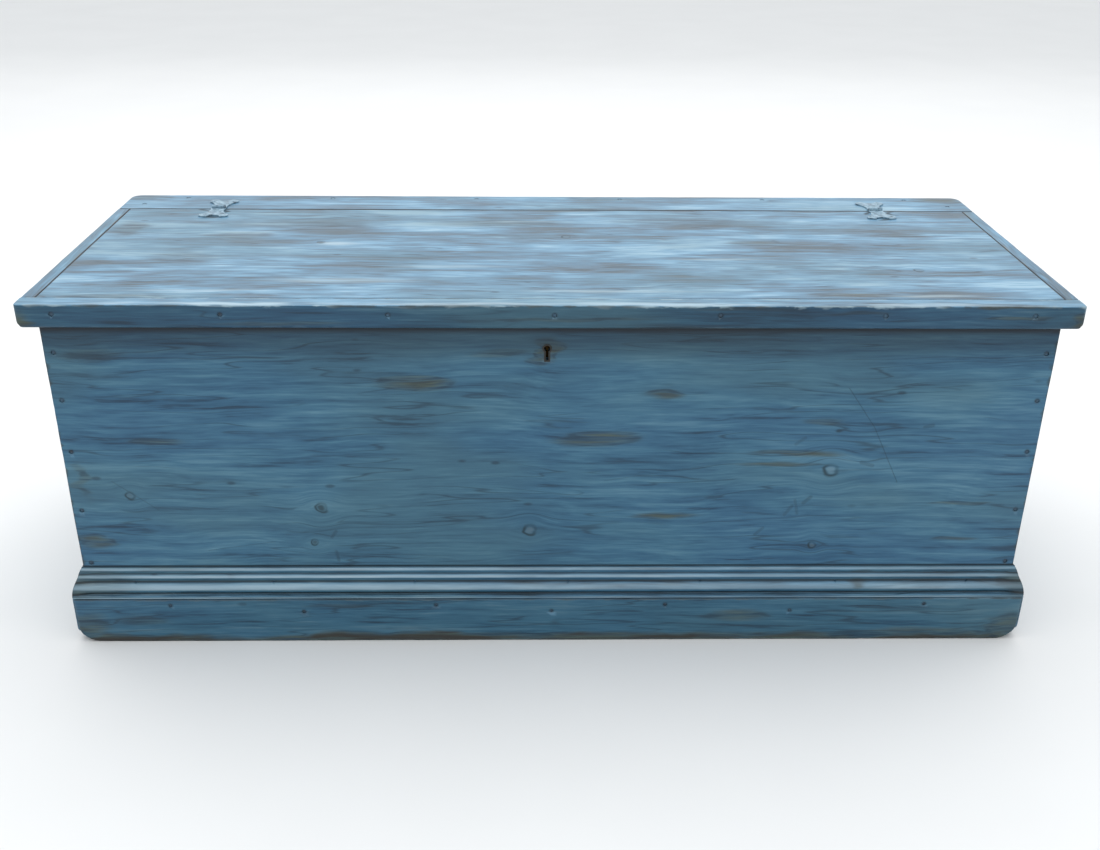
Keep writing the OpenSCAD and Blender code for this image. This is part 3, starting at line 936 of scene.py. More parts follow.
@dataclass
class Blank:
    """A board as a closed box of small faces, worn and then cut.

    Attributes:
        name: The piece's name.
        low: Its lowest corner.
        high: Its highest corner.
        seed: Moves the wear.
        step: Size of the faces in the middle of the board.
        radius: Of the arrises.
        soft: How much rounder the arrises are on one side, as a direction times metres.
        hollow: Depth of the hollows in the faces.
        chips: Depth of the bruises on the arrises.
        shapes: What bends or rounds it.
        cutters: The shapes of its holes.
        trims: A place and a direction for each saw cut.
    """

    name: str
    low: Vector
    high: Vector
    seed: int
    step: float = 0.007
    radius: float = 0.0010
    soft: Vector = field(default_factory=lambda: Vector((0, 0, 0)))
    hollow: float = 0.00035
    chips: float = 0.0012
    shapes: list[Shape] = field(default_factory=list)
    cutters: list[Object] = field(default_factory=list)
    trims: list[tuple[Vector, Vector]] = field(default_factory=list)

    EDGE_STEPS = (0.0, 0.0005, 0.0011, 0.002, 0.0032, 0.0048, 0.007, 0.010, 0.014, 0.019, 0.025)
    WAVE_ALONG = 240 * MM
    WAVE_ACROSS = 50 * MM
    PLANE_MARKS = (90 * MM, 18 * MM, 18 * MM)
    RUBS = (30 * MM, 30 * MM, 30 * MM)
    BRUISES = (11 * MM, 11 * MM, 11 * MM)
    SMOOTH = 32.0

    def _marks(self, axis: int) -> np.ndarray:
        """Sets out the lines between the faces.

        Args:
            axis: The axis to set them out along.

        Returns:
            Their places, closer together at both ends.
        """
        low, high = self.low[axis], self.high[axis]
        half = (high - low) / 2
        near = [low + s for s in self.EDGE_STEPS if s < half * 0.92]
        far = [high - (s - low) for s in near]
        gap = far[-1] - near[-1]
        count = max(1, round(gap / self.step))
        middle = [near[-1] + gap * k / count for k in range(1, count)]
        return np.array(sorted(near + middle + far))

    def _shell(self) -> tuple[np.ndarray, np.ndarray]:
        """Makes the box.

        Returns:
            Its points and its four-cornered faces, all facing outwards.
        """
        marks = [self._marks(axis) for axis in range(3)]
        counts = [len(m) for m in marks]
        faces = []
        for axis in range(3):
            first, second = (axis + 1) % 3, (axis + 2) % 3
            rows, columns = np.meshgrid(np.arange(counts[first] - 1),
                                        np.arange(counts[second] - 1), indexing="ij")
            for end in (0, counts[axis] - 1):
                corners = []
                for d_first, d_second in ((0, 0), (1, 0), (1, 1), (0, 1)):
                    index = [None, None, None]
                    index[axis] = np.full(rows.size, end)
                    index[first] = rows.ravel() + d_first
                    index[second] = columns.ravel() + d_second
                    corners.append((index[0] * counts[1] + index[1]) * counts[2] + index[2])
                faces.append(np.stack(corners if end else corners[::-1], axis=1))
        flat, faces = np.unique(np.concatenate(faces), return_inverse=True)
        faces = faces.reshape(-1, 4)
        grid = np.stack([marks[0][flat // (counts[1] * counts[2])],
                         marks[1][flat // counts[2] % counts[1]],
                         marks[2][flat % counts[2]]], axis=1)
        return grid, faces

    def _worn(self, points: np.ndarray) -> np.ndarray:
        """Rounds the arrises, bruises them and hollows the faces.

        Args:
            points: Points on the box.

        Returns:
            The moved points.
        """
        low, high = np.array(self.low), np.array(self.high)
        long_axis = int(np.argmax(high - low))
        wave = [self.WAVE_ACROSS] * 3
        wave[long_axis] = self.WAVE_ALONG
        rub = Ripple(self.seed).at(points, self.RUBS)
        bruise = Ripple(self.seed + 1).at(points, self.BRUISES)
        radius = self.radius * (1.0 + 0.45 * rub)
        radius = radius + self.chips * np.clip(bruise - 0.45, 0, 1) ** 1.5 * 3.0
        soft = np.array(self.soft)
        if soft.any():
            way = soft / np.linalg.norm(soft)
            reach = (points - (low + high) / 2) @ way / (np.abs(high - low) @ np.abs(way) / 2)
            radius = radius + np.linalg.norm(soft) * np.clip(reach * 0.5 + 0.5, 0, 1) ** 2
        radius = np.minimum(radius, (high - low).min() * 0.45)[:, None]
        inner = np.clip(points, low + radius, high - radius)
        out = points - inner
        longest = np.abs(out).max(axis=1, keepdims=True)
        length = np.maximum(np.linalg.norm(out, axis=1, keepdims=True), 1e-9)
        worn = inner + out * longest / length
        sink = Ripple(self.seed + 2).at(points, tuple(wave)) * 0.5 + 0.5
        planed = Ripple(self.seed + 3).at(points, self.PLANE_MARKS) * 0.5 + 0.5
        facing = out / length
        return worn - facing * (self.hollow * (sink + 0.35 * planed))[:, None]

    def build(self) -> Object:
        """Makes the board.

        Returns:
            The board's object, with its place in its mesh.
        """
        points, faces = self._shell()
        points = self._worn(points)
        for shape in self.shapes:
            points = shape(points)
        board = mesh_object(self.name, points, faces)
        for place, way in self.trims:
            trim(board, place, way)
        if self.cutters:
            carve(board, self.cutters)
        shade(board, self.SMOOTH)
        return board


def round_corner(axes: tuple[int, int], corner: Pair, radius: float,
                 fade: Optional[tuple[int, float, float]] = None) -> Shape:
    """Rounds one upright or level corner of a board.

    Args:
        axes: The two axes that the round lies in.
        corner: The sharp corner's place along those axes.
        radius: Of the round.
        fade: An axis, a place on it and the distance over which the round dies out from there,
            or None for the same round all along.

    Returns:
        A function that moves points onto the round.
    """
    def shape(points: np.ndarray) -> np.ndarray:
        """Moves a board's points onto the round.

        Args:
            points: The points.

        Returns:
            The moved points.
        """
        flat = points[:, axes]
        sign = np.sign(np.array(corner) - np.array(body_centre(flat)))
        size = np.full((len(points), 1), radius)
        if fade:
            axis, start, reach = fade
            part = np.clip(1 - np.abs(points[:, axis] - start) / reach, 0, 1)
            size = (radius * part * part * (3 - 2 * part))[:, None]
        inner = np.array(corner) - sign * size
        out = np.maximum((flat - inner) * sign, 0)
        both = (out > 0).all(axis=1)
        length = np.maximum(np.linalg.norm(out, axis=1), 1e-9)
        scale = np.where(both, out.max(axis=1) / length, 1.0)
        moved = points.copy()
        moved[:, axes] = np.where(both[:, None], inner + out * sign * scale[:, None], flat)
        return moved
    return shape


def both_ends(axes: tuple[int, int], end: float, other: float, radius: float) -> list[Shape]:
    """The same round at a board's left and right ends."""
    return [round_corner(axes, (sign * end, other), radius) for sign in (-1, 1)]


def body_centre(flat: np.ndarray) -> np.ndarray:
    """The middle of the box round some points."""
    return (flat.min(axis=0) + flat.max(axis=0)) / 2


# ------------------------ work on meshes


def mesh_object(name: str, points: np.ndarray, faces: Sequence[Sequence[int]]) -> Object:
    """Makes a mesh object at the origin.

    Args:
        name: Its name.
        points: One place in each row.
        faces: The numbers of each face's points.

    Returns:
        The object.
    """
    mesh = bpy.data.meshes.new(name)
    mesh.from_pydata(points.tolist(), [], [list(map(int, face)) for face in faces])
    mesh.validate()
    return place_object(name, mesh)


def place_object(name: str, data: ID) -> Object:
    """Puts a mesh, a camera or a light into the scene, at the origin.

    Args:
        name: The object's name.
        data: What it shows.

    Returns:
        The object.
    """
    made = bpy.data.objects.new(name, data)
    bpy.context.scene.collection.objects.link(made)
    return made


@contextmanager
def opened(piece: Object) -> Iterator[bmesh.types.BMesh]:
    """Opens a piece's mesh for work on its points and faces, and closes it at the end.

    Args:
        piece: The piece.

    Yields:
        Its open mesh.
    """
    work = bmesh.new()
    work.from_mesh(piece.data)
    yield work
    work.to_mesh(piece.data)
    work.free()


def trim(board: Object, place: Vector, way: Vector) -> None:
    """Saws a board through and throws one part away.

    Args:
        board: The board.
        place: Any place on the cut.
        way: The direction, square to the cut, of the part that goes.
    """
    with opened(board) as work:
        everything = work.verts[:] + work.edges[:] + work.faces[:]
        cut = bmesh.ops.bisect_plane(work, geom=everything, dist=1e-6, plane_co=place,
                                     plane_no=way, clear_outer=True)
        rim = [e for e in cut["geom_cut"] if isinstance(e, bmesh.types.BMEdge)]
        bmesh.ops.edgeloop_fill(work, edges=rim)
        bmesh.ops.recalc_face_normals(work, faces=work.faces[:])


def carve(board: Object, cutters: Sequence[Object]) -> None:
    """Cuts holes of the cutters' shapes into a board and removes the cutters.

    Args:
        board: The board.
        cutters: Closed solids.
    """
    group = bpy.data.collections.new(board.name + "_cutters")
    for cutter in cutters:
        group.objects.link(cutter)
    knife = board.modifiers.new("cut", "BOOLEAN")
    knife.operation, knife.solver = "DIFFERENCE", "MANIFOLD"
    knife.operand_type, knife.collection = "COLLECTION", group
    bake_modifiers(board)
    for cutter in cutters:
        bpy.data.objects.remove(cutter)
    bpy.data.collections.remove(group)


def bake_modifiers(piece: Object) -> None:
    """Turns a piece's modifiers into its plain mesh.

    Args:
        piece: The piece.
    """
    shown = piece.evaluated_get(bpy.context.evaluated_depsgraph_get())
    mesh = bpy.data.meshes.new_from_object(shown)
    piece.modifiers.clear()
    old = piece.data
    piece.data = mesh
    bpy.data.meshes.remove(old)


def run_tree(piece: Object, tree: NodeTree, values: dict[str, Any]) -> None:
    """Runs a node tree on a piece and keeps the result as its plain mesh.

    Args:
        piece: The piece.
        tree: The tree.
        values: What goes into each named input.
    """
    sockets = {item.name: item.identifier for item in tree.interface.items_tree
               if item.in_out == "INPUT"}
    runner = piece.modifiers.new("tree", "NODES")
    runner.node_group = tree
    for name, value in values.items():
        runner[sockets[name]] = value
    bake_modifiers(piece)
    bpy.data.node_groups.remove(tree)


def shade(piece: Object, angle: float) -> None:
    """Shades smooth across the flatter edges.

    Args:
        piece: The piece.
        angle: The edges that bend less than this are shaded smooth, in degrees.
    """
    piece.data.shade_smooth()
    limit = math.radians(angle)
    with opened(piece) as work:
        for edge in work.edges:
            edge.smooth = len(edge.link_faces) == 2 and edge.calc_face_angle(0) < limit


def face_outwards(piece: Object) -> None:
    """Turns every face of a closed piece outwards."""
    with opened(piece) as work:
        bmesh.ops.remove_doubles(work, verts=work.verts[:], dist=1e-7)
        bmesh.ops.recalc_face_normals(work, faces=work.faces[:])


def block(low: Sequence[float], high: Sequence[float]) -> Object:
    """A plain box for cutting with.

    Args:
        low: Its lowest corner.
        high: Its highest corner.

    Returns:
        The box.
    """
    corners = np.array([[x, y, z] for x in (low[0], high[0]) for y in (low[1], high[1])
                        for z in (low[2], high[2])])
    faces = [(0, 1, 3, 2), (4, 6, 7, 5), (0, 4, 5, 1), (2, 3, 7, 6), (0, 2, 6, 4), (1, 5, 7, 3)]
    return mesh_object("cutter", corners, faces)


def prism(outline: Sequence[Pair], low: float, high: float,
          lay: Callable[[float, float, float], Triple]) -> Object:
    """A straight solid over a flat outline.

    Args:
        outline: Its corners, anticlockwise seen from its high end.
        low: Where it starts along its length.
        high: Where it ends.
        lay: Turns (across, up, along) into a place.

    Returns:
        The solid.
    """
    count = len(outline)
    points = np.array([lay(a, b, end) for end in (low, high) for a, b in outline])
    sides = [(k, (k + 1) % count, count + (k + 1) % count, count + k) for k in range(count)]
    faces = sides + [tuple(range(count))[::-1], tuple(range(count, 2 * count))]
    made = mesh_object("cutter", points, faces)
    face_outwards(made)
    return made


def ring_points(radius: float, count: int, start: float = 0.0) -> list[Pair]:
    """Points round a circle, the first of them at the angle start in radians."""
    angles = [start + math.tau * k / count for k in range(count)]
    return [(radius * math.cos(angle), radius * math.sin(angle)) for angle in angles]


def seat(place: Vector, way: Vector, radius: float, depth: float) -> Object:
    """A round cutter for the seat of a nail's head.

    Args:
        place: The middle of the head.
        way: The direction that the wood's face looks in.
        radius: Of the seat.
        depth: How far it is sunk.

    Returns:
        The cutter, which stands a little proud of the face.
    """
    turn = way.to_track_quat("Z", "Y").to_matrix()

    def lay(a: float, b: float, c: float) -> Triple:
        """Turns (across, up, along) into a place in the seat."""
        return tuple(place + turn @ Vector((a, b, c)))
    return prism(ring_points(radius, 14), -depth, 3 * MM, lay)


def xyz(vector: Vector) -> Triple:
    """A vector as three plain numbers."""
    return vector[0], vector[1], vector[2]


def mark_faces(piece: Object, bare: Sequence[Triple] = ()) -> None:
    """Stores on each point how bare of paint it is and how far it looks up.

    Args:
        piece: The piece.
        bare: The directions that its unpainted faces look in.
    """
    mesh = piece.data
    normals = np.zeros(len(mesh.vertices) * 3)
    mesh.vertices.foreach_get("normal", normals)
    normals = normals.reshape(-1, 3)
    facing = [normals @ np.array(way) for way in bare] or [np.zeros(len(normals))]
    amounts = {"bare": (np.max(facing, axis=0) - 0.55) / 0.3,
               "up": (normals[:, 2] - 0.25) / 0.5}
    for name, amount in amounts.items():
        store = mesh.attributes.new(name, "FLOAT", "POINT")
        store.data.foreach_set("value", np.clip(amount, 0, 1).astype(np.float32))


def place_piece(piece: Object, body: str, material: Material, slot: str,
                *nodes: str) -> Object:
    """Gives a piece its finish and its place among the frame's parts.

    Args:
        piece: The piece.
        body: The body that it rides on.
        material: Its finish.
        slot: Not used.
        nodes: The frame nodes that it stands for.

    Returns:
        The piece.
    """
    piece.data.materials.clear()
    piece.data.materials.append(material)
    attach(piece, body)
    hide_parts(*nodes)
    log.info("%s: %d faces, rides on %s", piece.name, len(piece.data.polygons), body)
    return piece


# ------------------------ nails and screws


class Slot(Enum):
    """The kinds of finish, by name."""

    PAINT = "painted_pine"
    PINE = "bare_pine"
    NAIL = "nail_iron"
    HINGE = "hinge_iron"
    BRASS = "lock_brass"
    IRON = "lock_iron"


@dataclass(frozen=True)
class Fastener:
    """One nail or screw in its place.

    Attributes:
        head: The middle of its head's outer face.
        way: The direction that the head looks in.
        radius: Of the head.
        length: From head to tip.
    """

    head: Vector
    way: Vector
    radius: float
    length: float


def solids(node: str) -> list[np.ndarray]:
    """The separate solids of a frame node.

    Args:
        node: The frame node.

    Returns:
        The points of each solid, in an order that never changes.
    """
    work = bmesh.new()
    work.from_mesh(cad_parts[node].data)
    bmesh.ops.remove_doubles(work, verts=work.verts[:], dist=1e-6)
    left = set(work.verts)
    found = []
    while left:
        heap = [left.pop()]
        group = []
        while heap:
            vert = heap.pop()
            group.append(vert.co.copy())
            for edge in vert.link_edges:
                other = edge.other_vert(vert)
                if other in left:
                    left.remove(other)
                    heap.append(other)
        found.append(np.array(group))
    work.free()
    return sorted(found, key=lambda g: tuple(np.round(g.min(axis=0), 4)))


Nails = Sequence[Fastener]


def fasteners(node: str) -> list[Fastener]:
    """Reads where a node's nails or screws are and which way they look.

    Args:
        node: The frame node.

    Returns:
        One fastener for each of its solids.
    """
    found = []
    for points in solids(node):
        low, high = points.min(axis=0), points.max(axis=0)
        axis = int(np.argmax(high - low))
        others = [k for k in range(3) if k != axis]
        near_low = points[points[:, axis] < low[axis] + 0.0004][:, others]
        near_high = points[points[:, axis] > high[axis] - 0.0004][:, others]
        head_high = np.ptp(near_high, axis=0).max() > np.ptp(near_low, axis=0).max()
        way, head = Vector((0, 0, 0)), Vector((low + high) / 2)
        way[axis] = 1.0 if head_high else -1.0
        head[axis] = high[axis] if head_high else low[axis]
        radius = (high - low)[others].max() / 2
        found.append(Fastener(head, way, radius, high[axis] - low[axis]))
    return found


class Shank(Enum):
    """The two kinds of fastener."""

    CUT_NAIL = "square shank and a rough domed head"
    WOOD_SCREW = "round shank and a countersunk head with a slot"


@dataclass
class Fasteners:
    """All the nails or screws of one node, set out on points by a node tree.

    Attributes:
        node: The frame node.
        body: The body that they ride on.
        slot: Their finish.
        kind: Nails or screws.
        sink: How far a head lies under the frame's face.
        seed: Moves the random turns and tilts.
        tilt: The greatest tilt, in radians.
    """

    node: str
    body: str
    slot: Slot
    kind: Shank
    sink: float = 0.0004
    seed: int = 1
    tilt: float = 0.05

    SIDES = 12
    SIZE_SPREAD = 0.12
    SMOOTH = 38.0

    def _ring(self, radius: float, square: float) -> list[Pair]:
        """Draws one ring of a shank or head.

        Args:
            radius: Of the ring.
            square: How square it is, from 0 for round to 1.

        Returns:
            Its points.
        """
        ring = []
        for a, b in ring_points(1.0, self.SIDES, math.pi / self.SIDES):
            stretch = 1 + square * (1 / max(abs(a), abs(b)) - 1)
            ring.append((a * stretch * radius, b * stretch * radius))
        return ring

    def _prototype(self, one: Fastener) -> Object:
        """Makes the fastener that all are copies of.

        Args:
            one: The place that it is measured for.

        Returns:
            A fastener that stands head up with its head at the origin.
        """
        r, tip = one.radius, -one.length
        if self.kind is Shank.CUT_NAIL:
            rows = [(0.34, 0.0, 0.1), (0.78, -0.00012, 0.1), (1.0, -0.00036, 0.1),
                    (0.98, -0.0009, 0.1), (0.52, -0.0010, 1.0), (0.50, tip * 0.7, 1.0),
                    (0.16, tip, 1.0)]
        else:
            rows = [(0.55, 0.00012, 0.0), (0.92, 0.0, 0.0), (1.0, -0.00018, 0.0),
                    (0.52, -r * 0.52, 0.0), (0.48, tip * 0.55, 0.0), (0.40, tip * 0.9, 0.0),
                    (0.08, tip, 0.0)]
        points, faces = [], []
        for part, z, square in rows:
            points += [(a, b, z) for a, b in self._ring(part * r, square)]
        n = self.SIDES
        for row in range(len(rows) - 1):
            for k in range(n):
                nxt = (k + 1) % n
                faces.append((row * n + k, (row + 1) * n + k, (row + 1) * n + nxt, row * n + nxt))
        faces.append(tuple(range(n)))
        faces.append(tuple((len(rows) - 1) * n + k for k in range(n))[::-1])
        made = mesh_object("prototype", np.array(points), faces)
        face_outwards(made)
        if self.kind is Shank.WOOD_SCREW:
            slot = block((-r * 1.3, -0.00038, -0.0007), (r * 1.3, 0.00038, 0.001))
            carve(made, [slot])
        return made

    def _tree(self) -> NodeTree:
        """Sets a fastener out on every point, turned and tilted at random.

        Returns:
            The node tree.
        """
        shop = ShapeShop(self.node, {"Fastener": "Object", "Tilt": "Float",
                                     "Size spread": "Float", "Seed": "Int", "Finish": "Material"})
        tilt, seed = shop.given("Tilt"), shop.given("Seed")
        way = shop.val("GeometryNodeInputNamedAttribute", {"data_type": "FLOAT_VECTOR"},
                       {"Name": "way"}, "Attribute")
        aim = shop.val("FunctionNodeAlignRotationToVector", {"axis": "Z"}, {"Vector": way},
                       "Rotation")
        most = shop.vector("ADD", shop.stretch((1, 1, 0), tilt), (0, 0, math.tau))
        lean = shop.val("FunctionNodeRandomValue", {"data_type": "FLOAT_VECTOR"},
                        {"Min": shop.stretch((-1, -1, 0), tilt), "Max": most, "Seed": seed},
                        "Value")
        lean = shop.val("FunctionNodeEulerToRotation", None, {"Euler": lean}, "Rotation")
        turn = shop.val("FunctionNodeRotateRotation", {"rotation_space": "LOCAL"},
                        {"Rotation": aim, "Rotate By": lean}, "Rotation")
        # on this node sockets 2 and 3 are the least and the most for one number
        size = shop.val("FunctionNodeRandomValue", {"data_type": "FLOAT"},
                        {2: 1.0 - shop.given("Size spread"), 3: 1.0, "Seed": seed}, 1)
        spread = shop.val("GeometryNodeInstanceOnPoints", None, {
            "Points": shop.given("Geometry"), "Instance": shop.pattern("Fastener"),
            "Rotation": turn, "Scale": size}, "Instances")
        return shop.finish(spread)

    def build(self, finish: Material) -> list[Fastener]:
        """Makes the fasteners.

        Args:
            finish: Their material.

        Returns:
            Where each of them is.
        """
        each = fasteners(self.node)
        mesh = bpy.data.meshes.new(self.node)
        mesh.from_pydata([tuple(f.head - f.way * self.sink) for f in each], [], [])
        ways = mesh.attributes.new("way", "FLOAT_VECTOR", "POINT")
        ways.data.foreach_set("vector", np.array([f.way[:] for f in each]).ravel())
        piece = place_object(self.node + "_set", mesh)
        prototype = self._prototype(each[0])
        run_tree(piece, self._tree(), {
            "Fastener": prototype, "Tilt": self.tilt, "Size spread": self.SIZE_SPREAD,
            "Seed": self.seed, "Finish": finish})
        bpy.data.objects.remove(prototype)
        shade(piece, self.SMOOTH)
        place_piece(piece, self.body, finish, self.slot.value, self.node)
        return each


# ------------------------ the chest


@dataclass
class Joinery:
    """What every wooden sub-assembly shares: how a board is made, dressed and nailed.

    Attributes:
        seat_depth: Of the hollows that the nail heads lie in.
        seat_room: How much wider they are than the heads.
    """

    seat_depth: float = 1.3 * MM
    seat_room: float = 0.25 * MM

    def seats(self, nails: Nails) -> list[Object]:
        """A cutter for the hollow that each nail head lies in."""
        return [seat(n.head, n.way, n.radius + self.seat_room, self.seat_depth) for n in nails]

    def board(self, node: str, body: str, seed: int, grain: Axis, slot: Slot = Slot.PAINT,
              bare: Sequence[Triple] = (), finish: PaintedPine = PaintedPine(), **blank: Any) -> Object:
        """Makes one board in its frame node's place.

        Args:
            node: The frame node.
            body: The body that it rides on.
            seed: Moves its wear and its pattern.
            grain: The direction of its grain.
            slot: Its kind of finish, by name.
            bare: The directions that its unpainted faces look in.
            finish: Its paint, whose name and place are filled in here.
            blank: Anything that its blank takes.

        Returns:
            The board.
        """
        low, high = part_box(node)
        made = Blank(node + "_wood", low, high, seed, **blank).build()
        mark_faces(made, bare)
        paint = replace(finish, name=node + "_finish", grain=grain, low=xyz(low), high=xyz(high),
                        seed=seed)
        return place_piece(made, body, paint.material(), slot.value, node)


@dataclass
class Carcass(Joinery):
    """Front, ends, back and bottom."""

    # the dark blue of the painted shade under the lid
    SHADE = srgb(5, 23, 36)

    def front(self, nails: Nails, lock: "BoxLock") -> None:
        """The front board, with its marks of use and the painted shade under the lid.

        Args:
            nails: The nails through it.
            lock: The lock that it is cut for.
        """
        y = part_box("front_board")[0].y
        lid_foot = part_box("lid_edging_front")[0].z

        def at(x: float, z: float) -> Triple:
            """A place on the face, in millimetres."""
            return x * MM, y, z * MM

        def patch(x: float, z: float, half_x: float, half_z: float, amount: float) -> Patch:
            """A patch on the face, in millimetres."""
            return Patch(at(x, z), (half_x * MM, THROUGH, half_z * MM), amount)

        def scratch(x: float, z: float, to_x: float, to_z: float, width: float = 0.8,
                    amount: float = 0.5) -> Scratch:
            """A scratch on the face, in millimetres."""
            return Scratch(at(x, z), at(to_x, to_z), width * MM, amount)

        def knot(x: float, z: float, radius: float, heart: float) -> Knot:
            """A knot in the face, in millimetres."""
            return Knot(at(x, z), radius * MM, heart)
        finish = PaintedPine(
            contrast=0.90, bareness=0.15, edge=0.0045,
            edge_tone=srgb(46, 52, 48),
            seam_dirt_and_shade=(SeamDirtAndShade(Axis.Z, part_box("moulding_front")[1].z, 0.0016, 0.75),
                   # painted shade under the lid's overhang: a wide soft band and a dark line right
                   # under the lid
                   SeamDirtAndShade(Axis.Z, lid_foot, 0.040, 0.50, self.SHADE),
                   SeamDirtAndShade(Axis.Z, lid_foot, 0.0112, 1.0, self.SHADE)),
            knots=(knot(-272, 178, 7.2, 0.9), knot(-27, 148, 7.8, 0.25),
                   knot(324, 228, 9.2, 0.12), knot(313, 127, 4.8, 0.3),
                   knot(-493, 195, 5.6, 0.35), knot(-283, 132, 4.6, 0.7)),
            patches=(patch(-155, 339, 50, 12, 1.0), patch(-453, 265, 38, 6, 0.7),
                     patch(54, 268, 60, 12, 0.95), patch(280, 250, 66, 5, 1.0),
                     patch(262, 236, 62, 4, 0.95),
                     patch(134, 167, 42, 6, 0.95), patch(124, 325, 34, 7, 0.9),
                     patch(484, 183, 40, 3.5, 0.7), patch(486, 134, 32, 3.5, 0.7),
                     patch(-541, 135, 26, 14, 0.9), patch(-510, 372, 42, 9, 0.45),
                     patch(-60, 375, 42, 5, 0.4), patch(310, 290, 22, 5, 0.5),
                     patch(-545, 215, 12, 32, 0.4), patch(-9, 377, 19, 19, 1.0)),
            scratches=(scratch(335, 333, 370, 283), scratch(370, 283, 405, 212),
                       scratch(-512, 214, -462, 176, 0.7, 0.4),
                       scratch(-410, 120, -330, 132, 0.7, 0.4),
                       scratch(60, 214, 190, 236, 0.6, 0.35),
                       scratch(-60, 205, 20, 196, 0.6, 0.35),
                       scratch(276, 168, 284, 180, 3, 0.4),
                       scratch(291, 170, 287, 188, 2.6, 0.35),
                       scratch(297, 184, 305, 192, 3.4, 0.45),
                       scratch(281, 262, 291, 270, 3, 0.35),
                       scratch(360, 238, 373, 234, 3.6, 0.4),
                       scratch(243, 141, 252, 150, 2.8, 0.4),
                       scratch(428, 284, 437, 286, 3.4, 0.45),
                       scratch(-262, 138, -257, 146, 3, 0.45),
                       scratch(-256, 106, -258, 118, 3, 0.45)),
            stains_and_shade=(patch(330, 281, 7, 3, 0.7),),
            seats=tuple(xyz(n.head) for n in nails))
        self.board("front_board", "carcass", 11, Axis.X, bare=((0, 1, 0),),
                   finish=finish, cutters=self.seats(nails) + lock.cutters(), radius=1.4 * MM)

    def build(self, front_nails: Nails, back_nails: Nails,
              bottom_nails: Nails, lock: "BoxLock") -> None:
        """Builds the carcass's boards.

        Args:
            front_nails: The nails through the front.
            back_nails: The nails through the back.
            bottom_nails: The nails through the bottom.
            lock: The lock that the front is cut for.
        """
        self.front(front_nails, lock)
        for seed, (side, inward) in enumerate((("left", 1), ("right", -1)), start=21):
            self.board("end_board_" + side, "carcass", seed, Axis.Y,
                       bare=((inward, 0, 0),), radius=1.2 * MM)
        everywhere = [tuple(s * (k == a) for k in range(3)) for a in range(3) for s in (-1, 1)]
        for seed, which in enumerate(("lower", "upper"), start=31):
            node = "back_board_" + which
            low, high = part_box(node)
            mine = [n for n in back_nails if low.z < n.head.z < high.z]
            self.board(node, "carcass", seed, Axis.X, Slot.PINE, bare=everywhere,
                       cutters=self.seats(mine), hollow=0.0006, radius=1.6 * MM)
        for number in range(1, 8):
            node = f"bottom_board_{number}"
            low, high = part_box(node)
            mine = [n for n in bottom_nails if low.x < n.head.x < high.x]
            self.board(node, "carcass", 40 + number, Axis.Y, Slot.PINE, bare=everywhere,
                       cutters=self.seats(mine), hollow=0.0006, radius=1.2 * MM, step=0.010)


